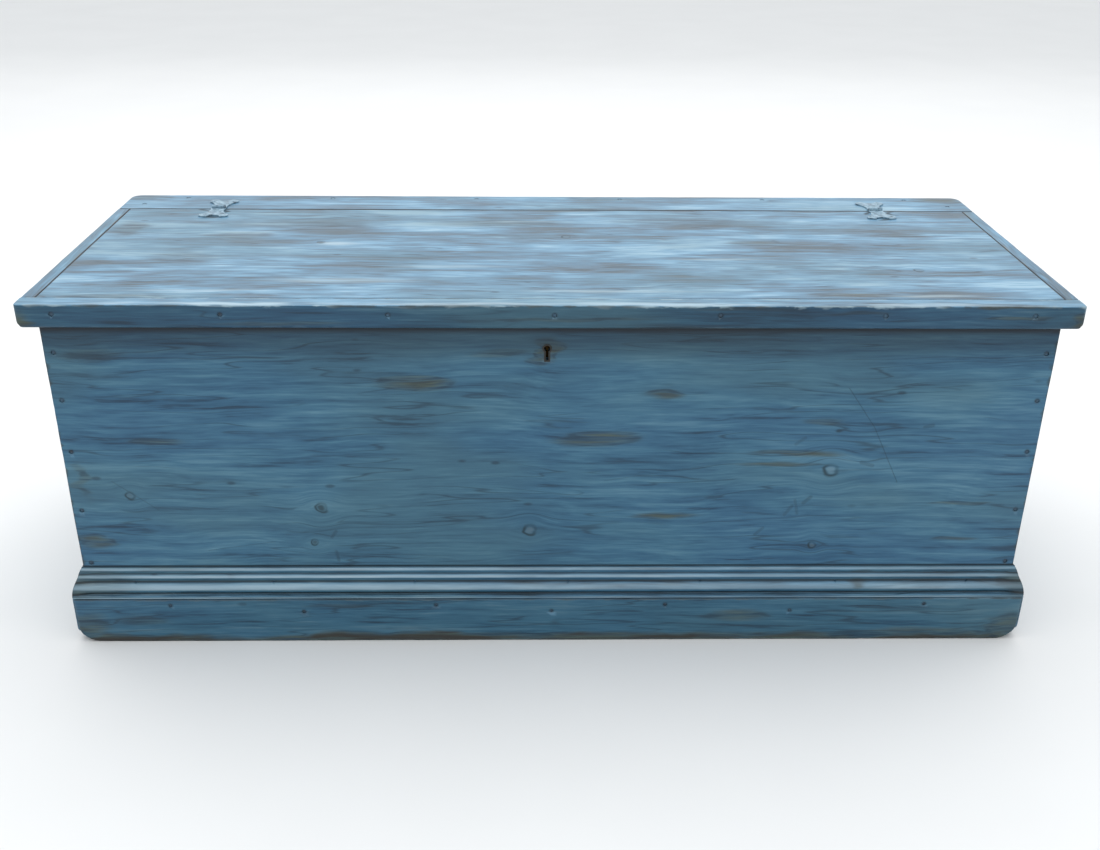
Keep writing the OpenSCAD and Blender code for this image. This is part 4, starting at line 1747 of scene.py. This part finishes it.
@dataclass
class Plinth(Joinery):
    """The plinth boards and the moulding on top of them.

    Attributes:
        foot: Radius of the rounded lower front corners.
        plan: Radius of the same corners seen from above.
        toe: Radius of the sides' lower outer arrises at the front.
        toe_reach: Distance over which that round dies out towards the back.
        steps: Points on each round of the moulding's profile.
        wobble: How far the moulding's faces wander.
        worn_corner: Distance from a mitre over which the moulding's steps are worn smooth.
        step: Distance between the moulding's cross-sections.
        flat_back: Distance from the wall over which the wear begins.
        earthy: Height over which the boards' feet are rubbed and dirty.
        brad_room: How much wider a brad's hollow is than its head.
        brad_depth: Of that hollow.
    """

    foot: float = 28 * MM
    plan: float = 6 * MM
    toe: float = 14 * MM
    toe_reach: float = 90 * MM
    steps: int = 9
    wobble: float = 0.3 * MM
    worn_corner: float = 22 * MM
    step: float = 5 * MM
    flat_back: float = 2 * MM
    earthy: float = 11 * MM
    brad_room: float = 0.4 * MM
    brad_depth: float = 1.2 * MM

    HEIGHT = 38 * MM
    REACH = 14 * MM
    WAVES = 26.0
    SMOOTH = 34.0
    SLOPE = ((0.0, 0.975), (0.10, 0.98), (0.30, 0.89), (0.50, 0.69), (0.65, 0.49), (0.86, 0.27),
             (1.0, 0.07))

    def boards(self, nails: Nails) -> None:
        """The three mitred boards.

        Args:
            nails: The nails through all of them.
        """
        low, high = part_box("plinth_front")
        rubs = (Patch((0.23, low.y, 0.036), (0.052, THROUGH, 0.010), 0.7),
                Patch((0.02, low.y, 0.004), (0.45, THROUGH, 0.009), 0.85),
                Patch((-0.30, low.y, 0.003), (0.16, THROUGH, 0.006), 0.8),
                Patch((0.45, low.y, 0.010), (0.10, THROUGH, 0.010), 0.6),
                Patch((-0.50, low.y, 0.030), (0.05, THROUGH, 0.010), 0.4),
                Patch((-0.56, low.y, 0.022), (0.030, THROUGH, 0.024), 0.75),
                Patch((0.56, low.y, 0.022), (0.030, THROUGH, 0.024), 0.75),
                Patch((-0.25, low.y, 0.050), (0.05, THROUGH, 0.005), 0.4))
        front = PaintedPine(tones=PLINTH_TONES, contrast=1.05,
                            bareness=0.3, foot=self.earthy, patches=rubs,
                            seam_dirt_and_shade=(SeamDirtAndShade(Axis.Z, high.z, 0.0012, 0.5),),
                            seats=tuple(xyz(n.head) for n in nails if n.way.y < -0.5))
        flat, rise = (0, 1), (0, 2)
        shapes = both_ends(rise, high.x, low.z, self.foot)
        shapes += both_ends(flat, high.x, low.y, self.plan)
        trims = [(Vector((s * (high.x - (high.y - low.y)), high.y, 0)), Vector((s, 1, 0)))
                 for s in (-1, 1)]
        self.board("plinth_front", "carcass", 51, Axis.X, bare=((0, 1, 0),),
                   finish=front, shapes=shapes, trims=trims, radius=1.6 * MM,
                   cutters=self.seats([n for n in nails if n.way.y < -0.5]))
        for seed, side, sign in ((52, "left", -1), (53, "right", 1)):
            node = "plinth_" + side
            near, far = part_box(node)
            outer = far.x if sign > 0 else near.x
            shapes = [round_corner((1, 2), (near.y, near.z), self.foot),
                      round_corner(rise, (outer, near.z), self.toe, (1, near.y, self.toe_reach)),
                      round_corner(flat, (outer, near.y), self.plan)]
            inner = outer - sign * (far.x - near.x)
            mine = [n for n in nails if n.way.x * sign > 0.5]
            self.board(node, "carcass", seed, Axis.Y, bare=((-sign, 0, 0),),
                       finish=PaintedPine(tones=PLINTH_TONES,
                                          bareness=0.3, foot=self.earthy),
                       shapes=shapes, radius=1.6 * MM, cutters=self.seats(mine),
                       trims=[(Vector((inner, high.y, 0)), Vector((-sign, -1, 0)))])

    def _profile(self) -> list[Pair]:
        """Draws the moulding's outline.

        Returns:
            Its points, as (out, up) from the lower inner corner.
        """
        def arc(out: float, up: float, radius: float, start: float, end: float
                ) -> list[Pair]:
            """Draws part of a circle.

            Args:
                out: The circle's middle, outwards.
                up: The same, upwards.
                radius: Of the circle.
                start: Where it starts, in degrees from the outward side.
                end: Where it ends.

            Returns:
                Points round it, in millimetres.
            """
            a, b = math.radians(start), math.radians(end)
            return [(out + radius * math.cos(a + (b - a) * k / (self.steps - 1)),
                     up + radius * math.sin(a + (b - a) * k / (self.steps - 1)))
                    for k in range(self.steps)]
        points = [(0, 0)] + arc(13.0, 1.0, 1.0, -90, 0) + arc(13.0, 2.8, 0.8, 0, 90)
        points += [(9.4, 3.9), (8.8, 5.0)]
        points += arc(6.0, 11.8, 6.5, -58, 66)
        points += [(7.6, 18.6), (6.2, 19.2), (5.9, 21.4)]
        points += arc(3.8, 24.6, 3.0, -48, 62)
        points += [(4.2, 28.4), (3.6, 29.0)]
        points += arc(1.2, 32.6, 3.0, -50, 80)
        points += [(1.3, 36.0), (1.4, 37.4), (1.0, 37.9), (0, 38)]
        return [(out * MM, up * MM) for out, up in points]

    def _tree(self) -> NodeTree:
        """Draws the profile along a line, mitres its ends and wears it.

        Returns:
            The node tree.
        """
        shop = ShapeShop("moulding", {
            "Profile": "Object", "Start": "Vector", "End": "Vector", "Start mitre": "Float",
            "End mitre": "Float", "Wobble": "Float", "Seed": "Float", "Finish": "Material"})
        start, end = shop.given("Start"), shop.given("End")
        start_mitre, end_mitre = shop.given("Start mitre"), shop.given("End mitre")

        # the line and the profile, which keep each point's place along the one and on the other
        line = shop.val("GeometryNodeCurvePrimitiveLine", None, {"Start": start, "End": end},
                        "Curve")
        finer = shop.val("GeometryNodeResampleCurve", {"mode": "LENGTH"},
                         {"Curve": line, "Length": self.step}, "Curve")
        factor = shop.val("GeometryNodeSplineParameter", out="Factor")
        path = shop.node("GeometryNodeCaptureAttribute", {"keeps": ("along",)},
                         {"Geometry": finer, "along": factor})
        outline = shop.val("GeometryNodeMeshToCurve", None, {"Mesh": shop.pattern("Profile")},
                           "Curve")
        x, y, _ = shop.split(shop.val("GeometryNodeInputPosition"))
        drawn = shop.node("GeometryNodeCaptureAttribute", {"keeps": ("out", "down")},
                          {"Geometry": outline, "out": x, "down": y})
        strip = shop.val("GeometryNodeCurveToMesh", None, {
            "Curve": Val(shop, path.outputs["Geometry"]), "Fill Caps": True,
            "Profile Curve": Val(shop, drawn.outputs["Geometry"])}, "Mesh")
        along, out, down = (Val(shop, node.outputs[name]) for node, name in
                            ((path, "along"), (drawn, "out"), (drawn, "down")))
        run = shop.vector("SUBTRACT", end, start)
        ahead = shop.vector("NORMALIZE", run)
        outward = shop.vector("CROSS_PRODUCT", ahead, (0, 0, 1))

        # near a mitred end the steps are worn into one smooth slope
        slope = shop.val("ShaderNodeFloatCurve", {"curve": self.SLOPE},
                         {"Value": down / -self.HEIGHT})
        from_start = along * shop.vector("LENGTH", run)
        from_end = shop.vector("LENGTH", run) - from_start
        near = (from_start.below(0.0, self.worn_corner) * start_mitre).higher(
            from_end.below(0.0, self.worn_corner) * end_mitre)
        # the face against the wall stays flat
        proud = shop.val("ShaderNodeMapRange", None, {"Value": out, "From Max": self.flat_back},
                         "Result")
        wear = (slope * self.REACH - out) * (near * proud)
        push = (along * end_mitre - (1.0 - along) * start_mitre) * (out + wear)
        mitred = shop.val("GeometryNodeSetPosition", None,
                          {"Geometry": strip, "Offset": shop.stretch(ahead, push)})
        noise = shop.val("ShaderNodeTexNoise", {"noise_dimensions": "4D"},
                         {"Scale": self.WAVES, "W": shop.given("Seed")}, "Fac")
        sunk = noise * shop.given("Wobble") * proud * 2.0
        worn = shop.val("GeometryNodeSetPosition", None,
                        {"Geometry": mitred, "Offset": shop.stretch(outward, wear - sunk)})
        return shop.finish(worn)

    @staticmethod
    def moulding_rubs(low: Vector, high: Vector) -> tuple[Patch, ...]:
        """Where a strip of moulding is rubbed.

        Args:
            low: Its lowest corner.
            high: Its highest corner.

        Returns:
            Its rubbed ends and some bruised spots.
        """
        ends = [Patch((x, low.y, (low.z + high.z) / 2), (reach, 0.03, 0.026), 0.75)
                for x, reach in ((low.x, 0.100), (high.x, 0.040))]
        bruises = [Patch((0.375, low.y, low.z + 0.017), (0.016, THROUGH, 0.007), 0.8),
                   Patch((0.385, low.y, high.z - 0.008), (0.022, THROUGH, 0.005), 0.7),
                   Patch((-0.46, low.y, high.z - 0.003), (0.060, THROUGH, 0.005), 0.7)]
        return tuple(ends + bruises)

    def moulding(self, node: str, start: Triple, end: Triple, mitres: Pair,
                 seed: int, grain: Axis, nails: Nails) -> None:
        """Draws one strip of moulding along its line.

        Args:
            node: The frame node.
            start: Where its inner lower edge starts.
            end: Where that edge ends; the strip lies to the right of the way there.
            mitres: 1 at a mitred end and 0 at a square one.
            seed: Moves its wear.
            grain: The direction of its grain.
            nails: The brads that hold it.
        """
        low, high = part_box(node)
        profile = bpy.data.meshes.new("profile")
        outline = self._profile()
        count = len(outline)
        profile.from_pydata([(out, -up, 0) for out, up in outline],
                            [(k, (k + 1) % count) for k in range(count)], [])
        pattern = place_object("profile", profile)
        # painted light along the moulding: height, half width and strength of each crest highlight,
        # below 0 of each quirk's shade
        rows = ((1.2, 1.6, 0.6), (6.0, 3.0, -0.8), (14.6, 4.6, 0.72), (20.2, 2.2, -0.8),
                (26.4, 2.0, 0.85), (29.4, 1.4, -0.6), (35.0, 1.8, 0.65), (38.0, 1.2, -0.75))
        bands = tuple(Band(low.z + up * MM, half * MM, lift) for up, half, lift in rows)
        finish = PaintedPine(
            tones=PLINTH_TONES, bareness=0.3, edge=0.0, bands=bands,
            patches=self.moulding_rubs(low, high), name=node + "_finish", grain=grain,
            low=xyz(low), high=xyz(high), seed=seed).material()
        strip = mesh_object(node + "_strip", np.zeros((1, 3)), [])
        run_tree(strip, self._tree(), {
            "Profile": pattern, "Start": start, "End": end, "Start mitre": mitres[0],
            "End mitre": mitres[1], "Wobble": self.wobble, "Seed": float(seed),
            "Finish": finish})
        bpy.data.objects.remove(pattern)
        face_outwards(strip)
        carve(strip, [seat(n.head, n.way, n.radius + self.brad_room, self.brad_depth)
                      for n in nails])
        shade(strip, self.SMOOTH)
        mark_faces(strip)
        place_piece(strip, "carcass", finish, Slot.PAINT.value, node)

    def build(self, plinth_nails: Nails, brads: Nails) -> None:
        """Builds the plinth and its moulding.

        Args:
            plinth_nails: The nails through the boards.
            brads: The nails through the moulding.
        """
        self.boards(plinth_nails)
        wall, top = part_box("front_board")[0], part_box("moulding_front")[0].z
        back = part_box("moulding_left")[1].y
        left, right = (wall.x, wall.y, top), (-wall.x, wall.y, top)
        self.moulding("moulding_left", (wall.x, back, top), left, (0, 1), 61, Axis.Y,
                      [n for n in brads if n.way.x < -0.5])
        self.moulding("moulding_front", left, right, (1, 1), 62, Axis.X,
                      [n for n in brads if n.way.y < -0.5])
        self.moulding("moulding_right", right, (-wall.x, back, top), (1, 0), 63, Axis.Y,
                      [n for n in brads if n.way.x > 0.5])


@dataclass
class Lid(Joinery):
    """The lid's wide board and the edging applied round it.

    Attributes:
        lip: Thickness of the edging's lip below the board.
        corner: Radius of its front corners seen from above.
        droop: Radius of the same corners seen from the front, at the bottom.
    """

    lip: float = 16 * MM
    corner: float = 5 * MM
    droop: float = 7 * MM

    def panel(self, link_plate: tuple[Vector, Vector]) -> None:
        """The wide board.

        Args:
            link_plate: The lowest and highest corners of the plate let in below it.
        """
        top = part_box("lid_board")[1].z

        def patch(x: float, y: float, half_x: float, half_y: float, amount: float) -> Patch:
            """A patch on the top, in millimetres."""
            return Patch((x * MM, y * MM, top), (half_x * MM, half_y * MM, 0.03), amount)
        low, high = link_plate
        recess = block((low.x - 0.001, low.y - 0.001, low.z - 0.004),
                       (high.x + 0.001, high.y + 0.001, high.z))
        finish = PaintedPine(
            contrast=1.25, bareness=0.15, edge=0.0,
            seam_dirt_and_shade=tuple(SeamDirtAndShade(Axis.X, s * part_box("lid_board")[1].x, 0.0016, 0.85)
                        for s in (-1, 1)) + (
                SeamDirtAndShade(Axis.Y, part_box("lid_board")[1].y, 0.0022, 0.95),
                SeamDirtAndShade(Axis.Y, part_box("lid_board")[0].y, 0.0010, 0.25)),
            patches=(patch(262, 6, 46, 12, 0.95), patch(328, -187, 60, 8, 1.0),
                     patch(-391, 33, 60, 22, 0.55), patch(-330, 80, 150, 22, 0.4),
                     patch(-60, 88, 130, 20, 0.5), patch(-20, 30, 120, 16, 0.35),
                     patch(-440, -60, 60, 40, 0.3), patch(180, 100, 160, 26, 0.35),
                     patch(440, 40, 40, 10, 0.6), patch(20, 148, 60, 8, 0.7),
                     patch(-480, -195, 90, 7, 0.5), patch(480, -110, 60, 12, 0.3),
                     patch(-540, 60, 30, 50, 0.45)),
            pale=(patch(-262, -2, 34, 9, 0.75), patch(-30, 96, 60, 3, 0.5),
                  patch(-250, -140, 110, 12, 0.4), patch(420, -190, 70, 5, 0.45),
                  patch(60, -176, 120, 6, 0.5), patch(-400, -176, 90, 5, 0.4),
                  patch(200, -60, 70, 5, 0.4), patch(-120, -90, 90, 6, 0.35)),
            # dirt and painted shade round the hinge leaves
            stains_and_shade=self.hinge_dirt_and_shade(),
            scratches=(Scratch((0.467, 0.135, top), (0.545, 0.134, top), 0.0012, 0.9),),
            knots=(Knot((-0.285, 0.004, top), 0.005, 0.8), Knot((0.02, 0.03, top), 0.006, 0.4),
                   Knot((0.43, -0.10, top), 0.006, 0.4)))
        self.board("lid_board", "lid", 71, Axis.X, bare=((0, 0, -1),), finish=finish,
                   radius=1.1 * MM, cutters=[recess])

    @staticmethod
    def hinge_dirt_and_shade() -> tuple[Patch, ...]:
        """Finds where the lid is darkened round the hinges: dirt, and painted shade at the leaves'
        edges.

        Returns:
            Patches beside their waists and in the notches of their ends.
        """
        dirt_and_shade = []
        for side in ("left", "right"):
            low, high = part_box("hinge_leaf_lid_" + side)
            middle = (low.x + high.x) / 2
            for turn in (-1, 1):
                place = (middle + turn * 0.013, high.y - 0.013, low.z)
                dirt_and_shade.append(Patch(place, (0.0060, 0.014, THROUGH), 0.9))
            dirt_and_shade.append(Patch((middle, low.y + 0.001, low.z), (0.011, 0.006, THROUGH), 0.9))
        return tuple(dirt_and_shade)

    @staticmethod
    def arris_rub_and_highlight() -> tuple[Patch, ...]:
        """Pale streaks along the top of the front edging: rubbed paint, partly a painted highlight on
        the arris.
        """
        low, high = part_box("lid_edging_front")
        return tuple(Patch((x, low.y + 0.006, high.z), (reach, 0.0065, 0.0022), amount)
                     for x, reach, amount in ((-0.36, 0.20, 0.85), (-0.10, 0.16, 0.6),
                                              (0.13, 0.16, 0.75), (0.40, 0.10, 0.6)))

    @staticmethod
    def worn_ends() -> tuple[Patch, ...]:
        """Finds where the front edging is rubbed.

        Returns:
            Patches at its ends, its lower corners and along its arrises.
        """
        low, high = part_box("lid_edging_front")
        ends = [Patch((s * high.x, low.y, low.z + 0.006), (0.018, THROUGH, 0.018), 1.0)
                for s in (-1, 1)]
        rubs = [Patch((x, low.y, z), (reach, 0.012, 0.003), amount) for x, z, reach, amount in
                ((-0.09, high.z, 0.10, 0.7), (0.48, high.z, 0.07, 0.9), (0.16, low.z, 0.20, 0.6),
                 (-0.42, high.z, 0.05, 0.6), (0.33, high.z - 0.008, 0.05, 0.4),
                (0.505, low.z + 0.014, 0.045, 0.8), (0.02, low.z + 0.012, 0.12, 0.45),
                (0.20, high.z - 0.004, 0.07, 0.5), (-0.30, low.z + 0.006, 0.10, 0.4))]
        return tuple(ends + rubs)

    def edging(self, nails: Nails) -> None:
        """The three strips round the board.

        Args:
            nails: The nails through all of them.
        """
        low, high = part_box("lid_edging_front")
        under = block((low.x - 0.01, low.y + self.lip, low.z - 0.01),
                      (high.x + 0.01, high.y + 0.01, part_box("lid_board")[0].z))
        mine = [n for n in nails if n.way.y < -0.5]
        shapes = both_ends((0, 2), high.x, low.z, self.droop)
        shapes += both_ends((0, 1), high.x, low.y, self.corner)
        self.board("lid_edging_front", "lid", 72, Axis.X,
                   finish=PaintedPine(tones=EDGE_TONES, bareness=0.3,
                                      # a pale top arris: rubbed paint, partly a painted highlight
                                      edge=0.0034, edge_tone=srgb(156, 180, 190),
                                      low_rub=0.12, pale=self.arris_rub_and_highlight(),
                                      patches=self.worn_ends(),
                                      seats=tuple(xyz(n.head) for n in mine)),
                   cutters=[under] + self.seats(mine), shapes=shapes,
                   radius=0.8 * MM, soft=Vector((0, -2.2, -1.9)) * MM)
        for seed, side, sign in ((73, "left", -1), (74, "right", 1)):
            mine = [n for n in nails if n.way.x * sign > 0.5]
            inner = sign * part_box("lid_board")[1].x
            self.board("lid_edging_" + side, "lid", seed, Axis.Y,
                       finish=PaintedPine(tones=EDGE_TONES,
                                          contrast=1.1, bareness=0.3,
                                          edge=0.0028, edge_tone=srgb(118, 118, 112),
                                          seam_dirt_and_shade=(SeamDirtAndShade(Axis.X, inner, 0.0014, 0.9),),
                                          seats=tuple(xyz(n.head) for n in mine)),
                       cutters=self.seats(mine), radius=1.8 * MM)

    def build(self, nails: Nails, link_plate: tuple[Vector, Vector]) -> None:
        """Builds the lid, with a recess for the lock's link plate."""
        self.panel(link_plate)
        self.edging(nails)


@dataclass
class HingeRail(Joinery):
    """The fixed rail along the back.

    Attributes:
        corner: Radius of its rear corners seen from above.
    """

    corner: float = 14 * MM

    def build(self, nails: Nails) -> None:
        """Builds the rail.

        Args:
            nails: The nails through it.
        """
        low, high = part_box("hinge_rail")
        shapes = both_ends((0, 1), high.x, high.y, self.corner)
        rubs = tuple(Patch((x, y, high.z), (reach, deep, THROUGH), amount)
                     for x, y, reach, deep, amount in
                     ((high.x - 0.03, high.y - 0.012, 0.045, 0.022, 0.95),
                      (low.x + 0.02, high.y - 0.012, 0.040, 0.020, 0.7),
                      (0.24, high.y, 0.15, 0.007, 0.7), (0.10, low.y + 0.004, 0.20, 0.004, 0.6),
                      (-0.20, high.y, 0.20, 0.006, 0.5)))
        finish = PaintedPine(contrast=1.1, bareness=0.4, edge=0.0024,
                             edge_tone=srgb(98, 106, 106), patches=rubs,
                             seam_dirt_and_shade=(SeamDirtAndShade(Axis.Y, low.y, 0.0016, 0.9),),
                             seats=tuple(xyz(n.head) for n in nails))
        self.board("hinge_rail", "carcass", 75, Axis.X, bare=((0, 0, -1),), finish=finish,
                   shapes=shapes, radius=1.8 * MM, cutters=self.seats(nails))


def eased_copy(node: str, width: float, angle: float = 40.0) -> Object:
    """A copy of a frame node with its hard edges softened.

    Args:
        node: The frame node.
        width: Of the softened edges.
        angle: Edges sharper than this are softened, in degrees.

    Returns:
        The copy.
    """
    piece = place_object(node + "_eased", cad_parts[node].data.copy())
    with opened(piece) as work:
        bmesh.ops.remove_doubles(work, verts=work.verts[:], dist=1e-6)
        bmesh.ops.dissolve_limit(work, angle_limit=math.radians(1), verts=work.verts[:],
                                 edges=work.edges[:])
        bmesh.ops.recalc_face_normals(work, faces=work.faces[:])
    ease = piece.modifiers.new("ease", "BEVEL")
    ease.width, ease.segments = width, 2
    ease.limit_method, ease.angle_limit = "ANGLE", math.radians(angle)
    ease.use_clamp_overlap = True
    bake_modifiers(piece)
    shade(piece, 35.0)
    return piece


@dataclass
class ButterflyHinge:
    """One hinge: two flared leaves on a pin.

    Attributes:
        side: "left" or "right".
        easing: How soft the leaves' edges are.
    """

    side: str
    easing: float = 0.35 * MM

    def build(self, painted: Material, iron: Material) -> None:
        """Builds the hinge.

        Args:
            painted: The leaves' finish.
            iron: The pin's finish.
        """
        for part, body in (("rail", "carcass"), ("lid", "lid")):
            node = f"hinge_leaf_{part}_{self.side}"
            place_piece(eased_copy(node, self.easing), body, painted, Slot.HINGE.value, node)
        pin = "hinge_pin_" + self.side
        place_piece(eased_copy(pin, self.easing), "carcass", iron, Slot.HINGE.value, pin)


@dataclass
class BoxLock:
    """The lock in the front board and its link plate under the lid.

    Attributes:
        barrel: Radius of the keyhole's round part.
        bit: Width of its slot.
        drop: How far the slot reaches below the round part's middle.
        rim: Width of the escutcheon's rim.
        slack: Room left round the lock's parts.
    """

    barrel: float = 3.5 * MM
    bit: float = 3.0 * MM
    drop: float = 14.0 * MM
    rim: float = 1.9 * MM
    slack: float = 0.25 * MM

    def keyhole(self, grow: float, near: float, far: float) -> Object:
        """A cutter of the keyhole's outline.

        Args:
            grow: How much wider than the keyhole it is all round.
            near: Where it starts, along y.
            far: Where it ends.

        Returns:
            The cutter.
        """
        low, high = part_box("escutcheon")
        x, z = (low.x + high.x) / 2, high.z - self.rim - self.barrel
        radius, half = self.barrel + grow, self.bit / 2 + grow
        meet = math.asin(half / radius)
        turn = math.tau - 2 * meet
        round_part = [(radius * math.cos(a), radius * math.sin(a)) for a in
                      (-math.pi / 2 + meet + turn * k / 30 for k in range(31))]
        outline = [(-half, -self.drop - grow), (half, -self.drop - grow)] + round_part

        def lay(a: float, b: float, c: float) -> Triple:
            """Turns (across, up, along) into a place in the front."""
            return x + a, c, z + b
        return prism(outline, near, far, lay)

    def cutters(self) -> list[Object]:
        """The cutters for the front board.

        Returns:
            The escutcheon's seat, the keyhole and the three steps of the lock's mortice.
        """
        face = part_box("front_board")[0].y
        seat_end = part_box("escutcheon")[1].y
        plate_low, plate_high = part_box("lock_plate")
        case_low, case_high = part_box("lock_case")
        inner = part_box("front_board")[1].y
        s = self.slack
        selvedge = plate_high.z - 0.002
        return [
            self.keyhole(self.rim + 0.0001, face - 0.002, seat_end),
            self.keyhole(0.0, face - 0.002, inner + 0.002),
            block((plate_low.x - s, inner - 0.0022, plate_low.z - s),
                  (plate_high.x + s, inner + 0.002, plate_high.z + 0.003)),
            block((plate_low.x - s, plate_low.y - s, selvedge - s),
                  (plate_high.x + s, inner + 0.002, plate_high.z + 0.003)),
            block((case_low.x - s, case_low.y - s, case_low.z - s),
                  (case_high.x + s, inner + 0.002, plate_high.z + 0.003))]

    def build(self, brass: Material, grimy: Material,
              iron: Material) -> None:
        """Builds the lock.

        Args:
            brass: The finish of its plates and bolt.
            grimy: The finish of its escutcheon.
            iron: The finish of its case, spring and pin.
        """
        for node, body, finish in (("escutcheon", "carcass", grimy),
                                   ("lock_plate", "carcass", brass),
                                   ("lock_bolt", "lock_bolt", brass),
                                   ("link_plate", "lid", brass)):
            place_piece(eased_copy(node, 0.3 * MM), body, finish, Slot.BRASS.value, node)
        for node in ("lock_case", "lock_spring", "lock_drill_pin"):
            place_piece(eased_copy(node, 0.2 * MM), "carcass", iron, Slot.IRON.value, node)


# ---------------------------------------------------------------- the studio


@dataclass(frozen=True)
class Lamp:
    """One soft rectangular light.

    Attributes:
        name: Its name.
        place: Where it hangs.
        target: What it points at.
        size: Its width and height.
        power: In watts.
    """

    name: str
    place: Triple
    target: Triple
    size: Pair
    power: float

    def build(self) -> None:
        """Hangs the lamp."""
        light = bpy.data.lights.new(self.name, "AREA")
        light.shape, light.size, light.size_y = "RECTANGLE", *self.size
        light.energy = self.power
        lamp = place_object(self.name, light)
        lamp.visible_camera = False
        lamp.location = self.place
        way = Vector(self.target) - Vector(self.place)
        lamp.rotation_euler = way.to_track_quat("-Z", "Y").to_euler()


@dataclass
class Studio:
    """The plain floor, the soft lights and the camera.

    Attributes:
        eye: Where the camera stands.
        turn: How far it is turned to the right, in degrees.
        tilt: How far it looks down.
        roll: How far it leans.
        lens: Its focal length in millimetres.
        sensor: Its sensor's width in millimetres.
        reach: How far the floor goes each way.
        sky: The colour of the light from all round.
        sky_power: How strong that light is.
        lamps: The lights.
    """

    eye: Triple = (-0.030856, -1.456036, 0.88708)
    turn: float = 1.25
    tilt: float = 25.67
    roll: float = 0.55
    lens: float = 39.71
    sensor: float = 36.0
    reach: float = 30.0
    sky: Colour = (0.94, 0.97, 1.0, 1.0)
    sky_power: float = 0.95
    lamps: tuple[Lamp, ...] = (
        Lamp("overhead", (0.0, 0.7, 3.0), (0.0, 0.1, 0.4), (5.0, 3.0), 62),
        Lamp("behind", (0.0, 3.6, 1.9), (0.0, 0.0, 0.5), (5.0, 2.0), 14),
        Lamp("front", (-0.5, -2.2, 3.0), (0.0, 0.0, 0.2), (2.4, 1.2), 5))

    def camera(self) -> None:
        """Sets the camera up."""
        yaw, pitch, lean = (math.radians(a) for a in (self.turn, self.tilt, self.roll))
        ahead = Vector((math.sin(yaw) * math.cos(pitch), math.cos(yaw) * math.cos(pitch),
                        -math.sin(pitch)))
        level = Vector((math.cos(yaw), -math.sin(yaw), 0))
        upright = level.cross(ahead)
        right = level * math.cos(lean) + upright * math.sin(lean)
        up = upright * math.cos(lean) - level * math.sin(lean)
        lens = bpy.data.cameras.new("camera")
        lens.lens, lens.sensor_width = self.lens, self.sensor
        eye = place_object("camera", lens)
        turn = Matrix((right, up, -ahead)).transposed().to_4x4()
        eye.matrix_world = Matrix.Translation(self.eye) @ turn
        bpy.context.scene.camera = eye

    def floor(self) -> None:
        """Lays the floor."""
        far = self.reach
        floor = mesh_object("floor", np.array([[-far, -far, 0], [far, -far, 0], [far, far, 0],
                                               [-far, far, 0]]), [(0, 1, 2, 3)])
        shop = PaintShop("pale_floor")
        mottle = shop.noise(shop.place(), 3.0, 3)
        colour = shop.mix(mottle, srgb(232, 232, 231), srgb(238, 238, 237))
        floor.data.materials.append(shop.finish(colour, 0.7, None, 0.0, gloss=0.1))

    def build(self) -> None:
        """Builds the floor, the lights, the world and the camera."""
        self.camera()
        self.floor()
        world = bpy.data.worlds.new("studio")
        world.use_nodes = True
        backdrop = world.node_tree.nodes["Background"]
        backdrop.inputs["Color"].default_value = self.sky
        backdrop.inputs["Strength"].default_value = self.sky_power
        for lamp in self.lamps:
            lamp.build()
        scene = bpy.context.scene
        scene.world = world
        scene.view_settings.view_transform = "Standard"
        scene.view_settings.look = "None"


def main() -> None:
    """Builds the whole chest, sub-assembly by sub-assembly."""
    logging.basicConfig(level=logging.INFO, format="%(name)s: %(message)s")
    nail_iron = OldMetal("nail_finish", MetalWear.RUSTED, 1).material()
    nail_paint = OldMetal("nail_paint", MetalWear.FLUSH, 5).material()
    grimy = OldMetal("escutcheon_finish", MetalWear.GRIMY, 6).material()
    painted_iron = OldMetal("hinge_paint", MetalWear.PAINTED, 2).material()
    lock_iron = OldMetal("lock_iron_finish", MetalWear.RUSTED, 3).material()
    brass = OldMetal("lock_brass_finish", MetalWear.TARNISHED, 4).material()
    nails = {}
    for seed, (node, body, finish) in enumerate((
            ("front_nails", "carcass", nail_paint), ("back_nails", "carcass", nail_iron),
            ("bottom_nails", "carcass", nail_iron), ("plinth_nails", "carcass", nail_paint),
            ("moulding_nails", "carcass", nail_paint), ("rail_nails", "carcass", painted_iron),
            ("lid_nails", "lid", nail_paint)), start=1):
        nails[node] = Fasteners(node, body, Slot.NAIL, Shank.CUT_NAIL, 0.5 * MM,
                                seed).build(finish)
    for seed, (node, body, slot, finish) in enumerate((
            ("hinge_screws_rail", "carcass", Slot.HINGE, painted_iron),
            ("hinge_screws_lid", "lid", Slot.HINGE, painted_iron),
            ("lock_screws", "carcass", Slot.IRON, lock_iron),
            ("link_plate_screws", "lid", Slot.IRON, lock_iron)), start=11):
        Fasteners(node, body, slot, Shank.WOOD_SCREW, 0.0, seed, 0.0).build(finish)
    lock = BoxLock()
    Carcass().build(nails["front_nails"], nails["back_nails"], nails["bottom_nails"], lock)
    Plinth().build(nails["plinth_nails"], nails["moulding_nails"])
    Lid().build(nails["lid_nails"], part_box("link_plate"))
    HingeRail().build(nails["rail_nails"])
    for side in ("left", "right"):
        ButterflyHinge(side).build(painted_iron, lock_iron)
    lock.build(brass, grimy, lock_iron)
    Studio().build()


if __name__ == "__main__":
    main()
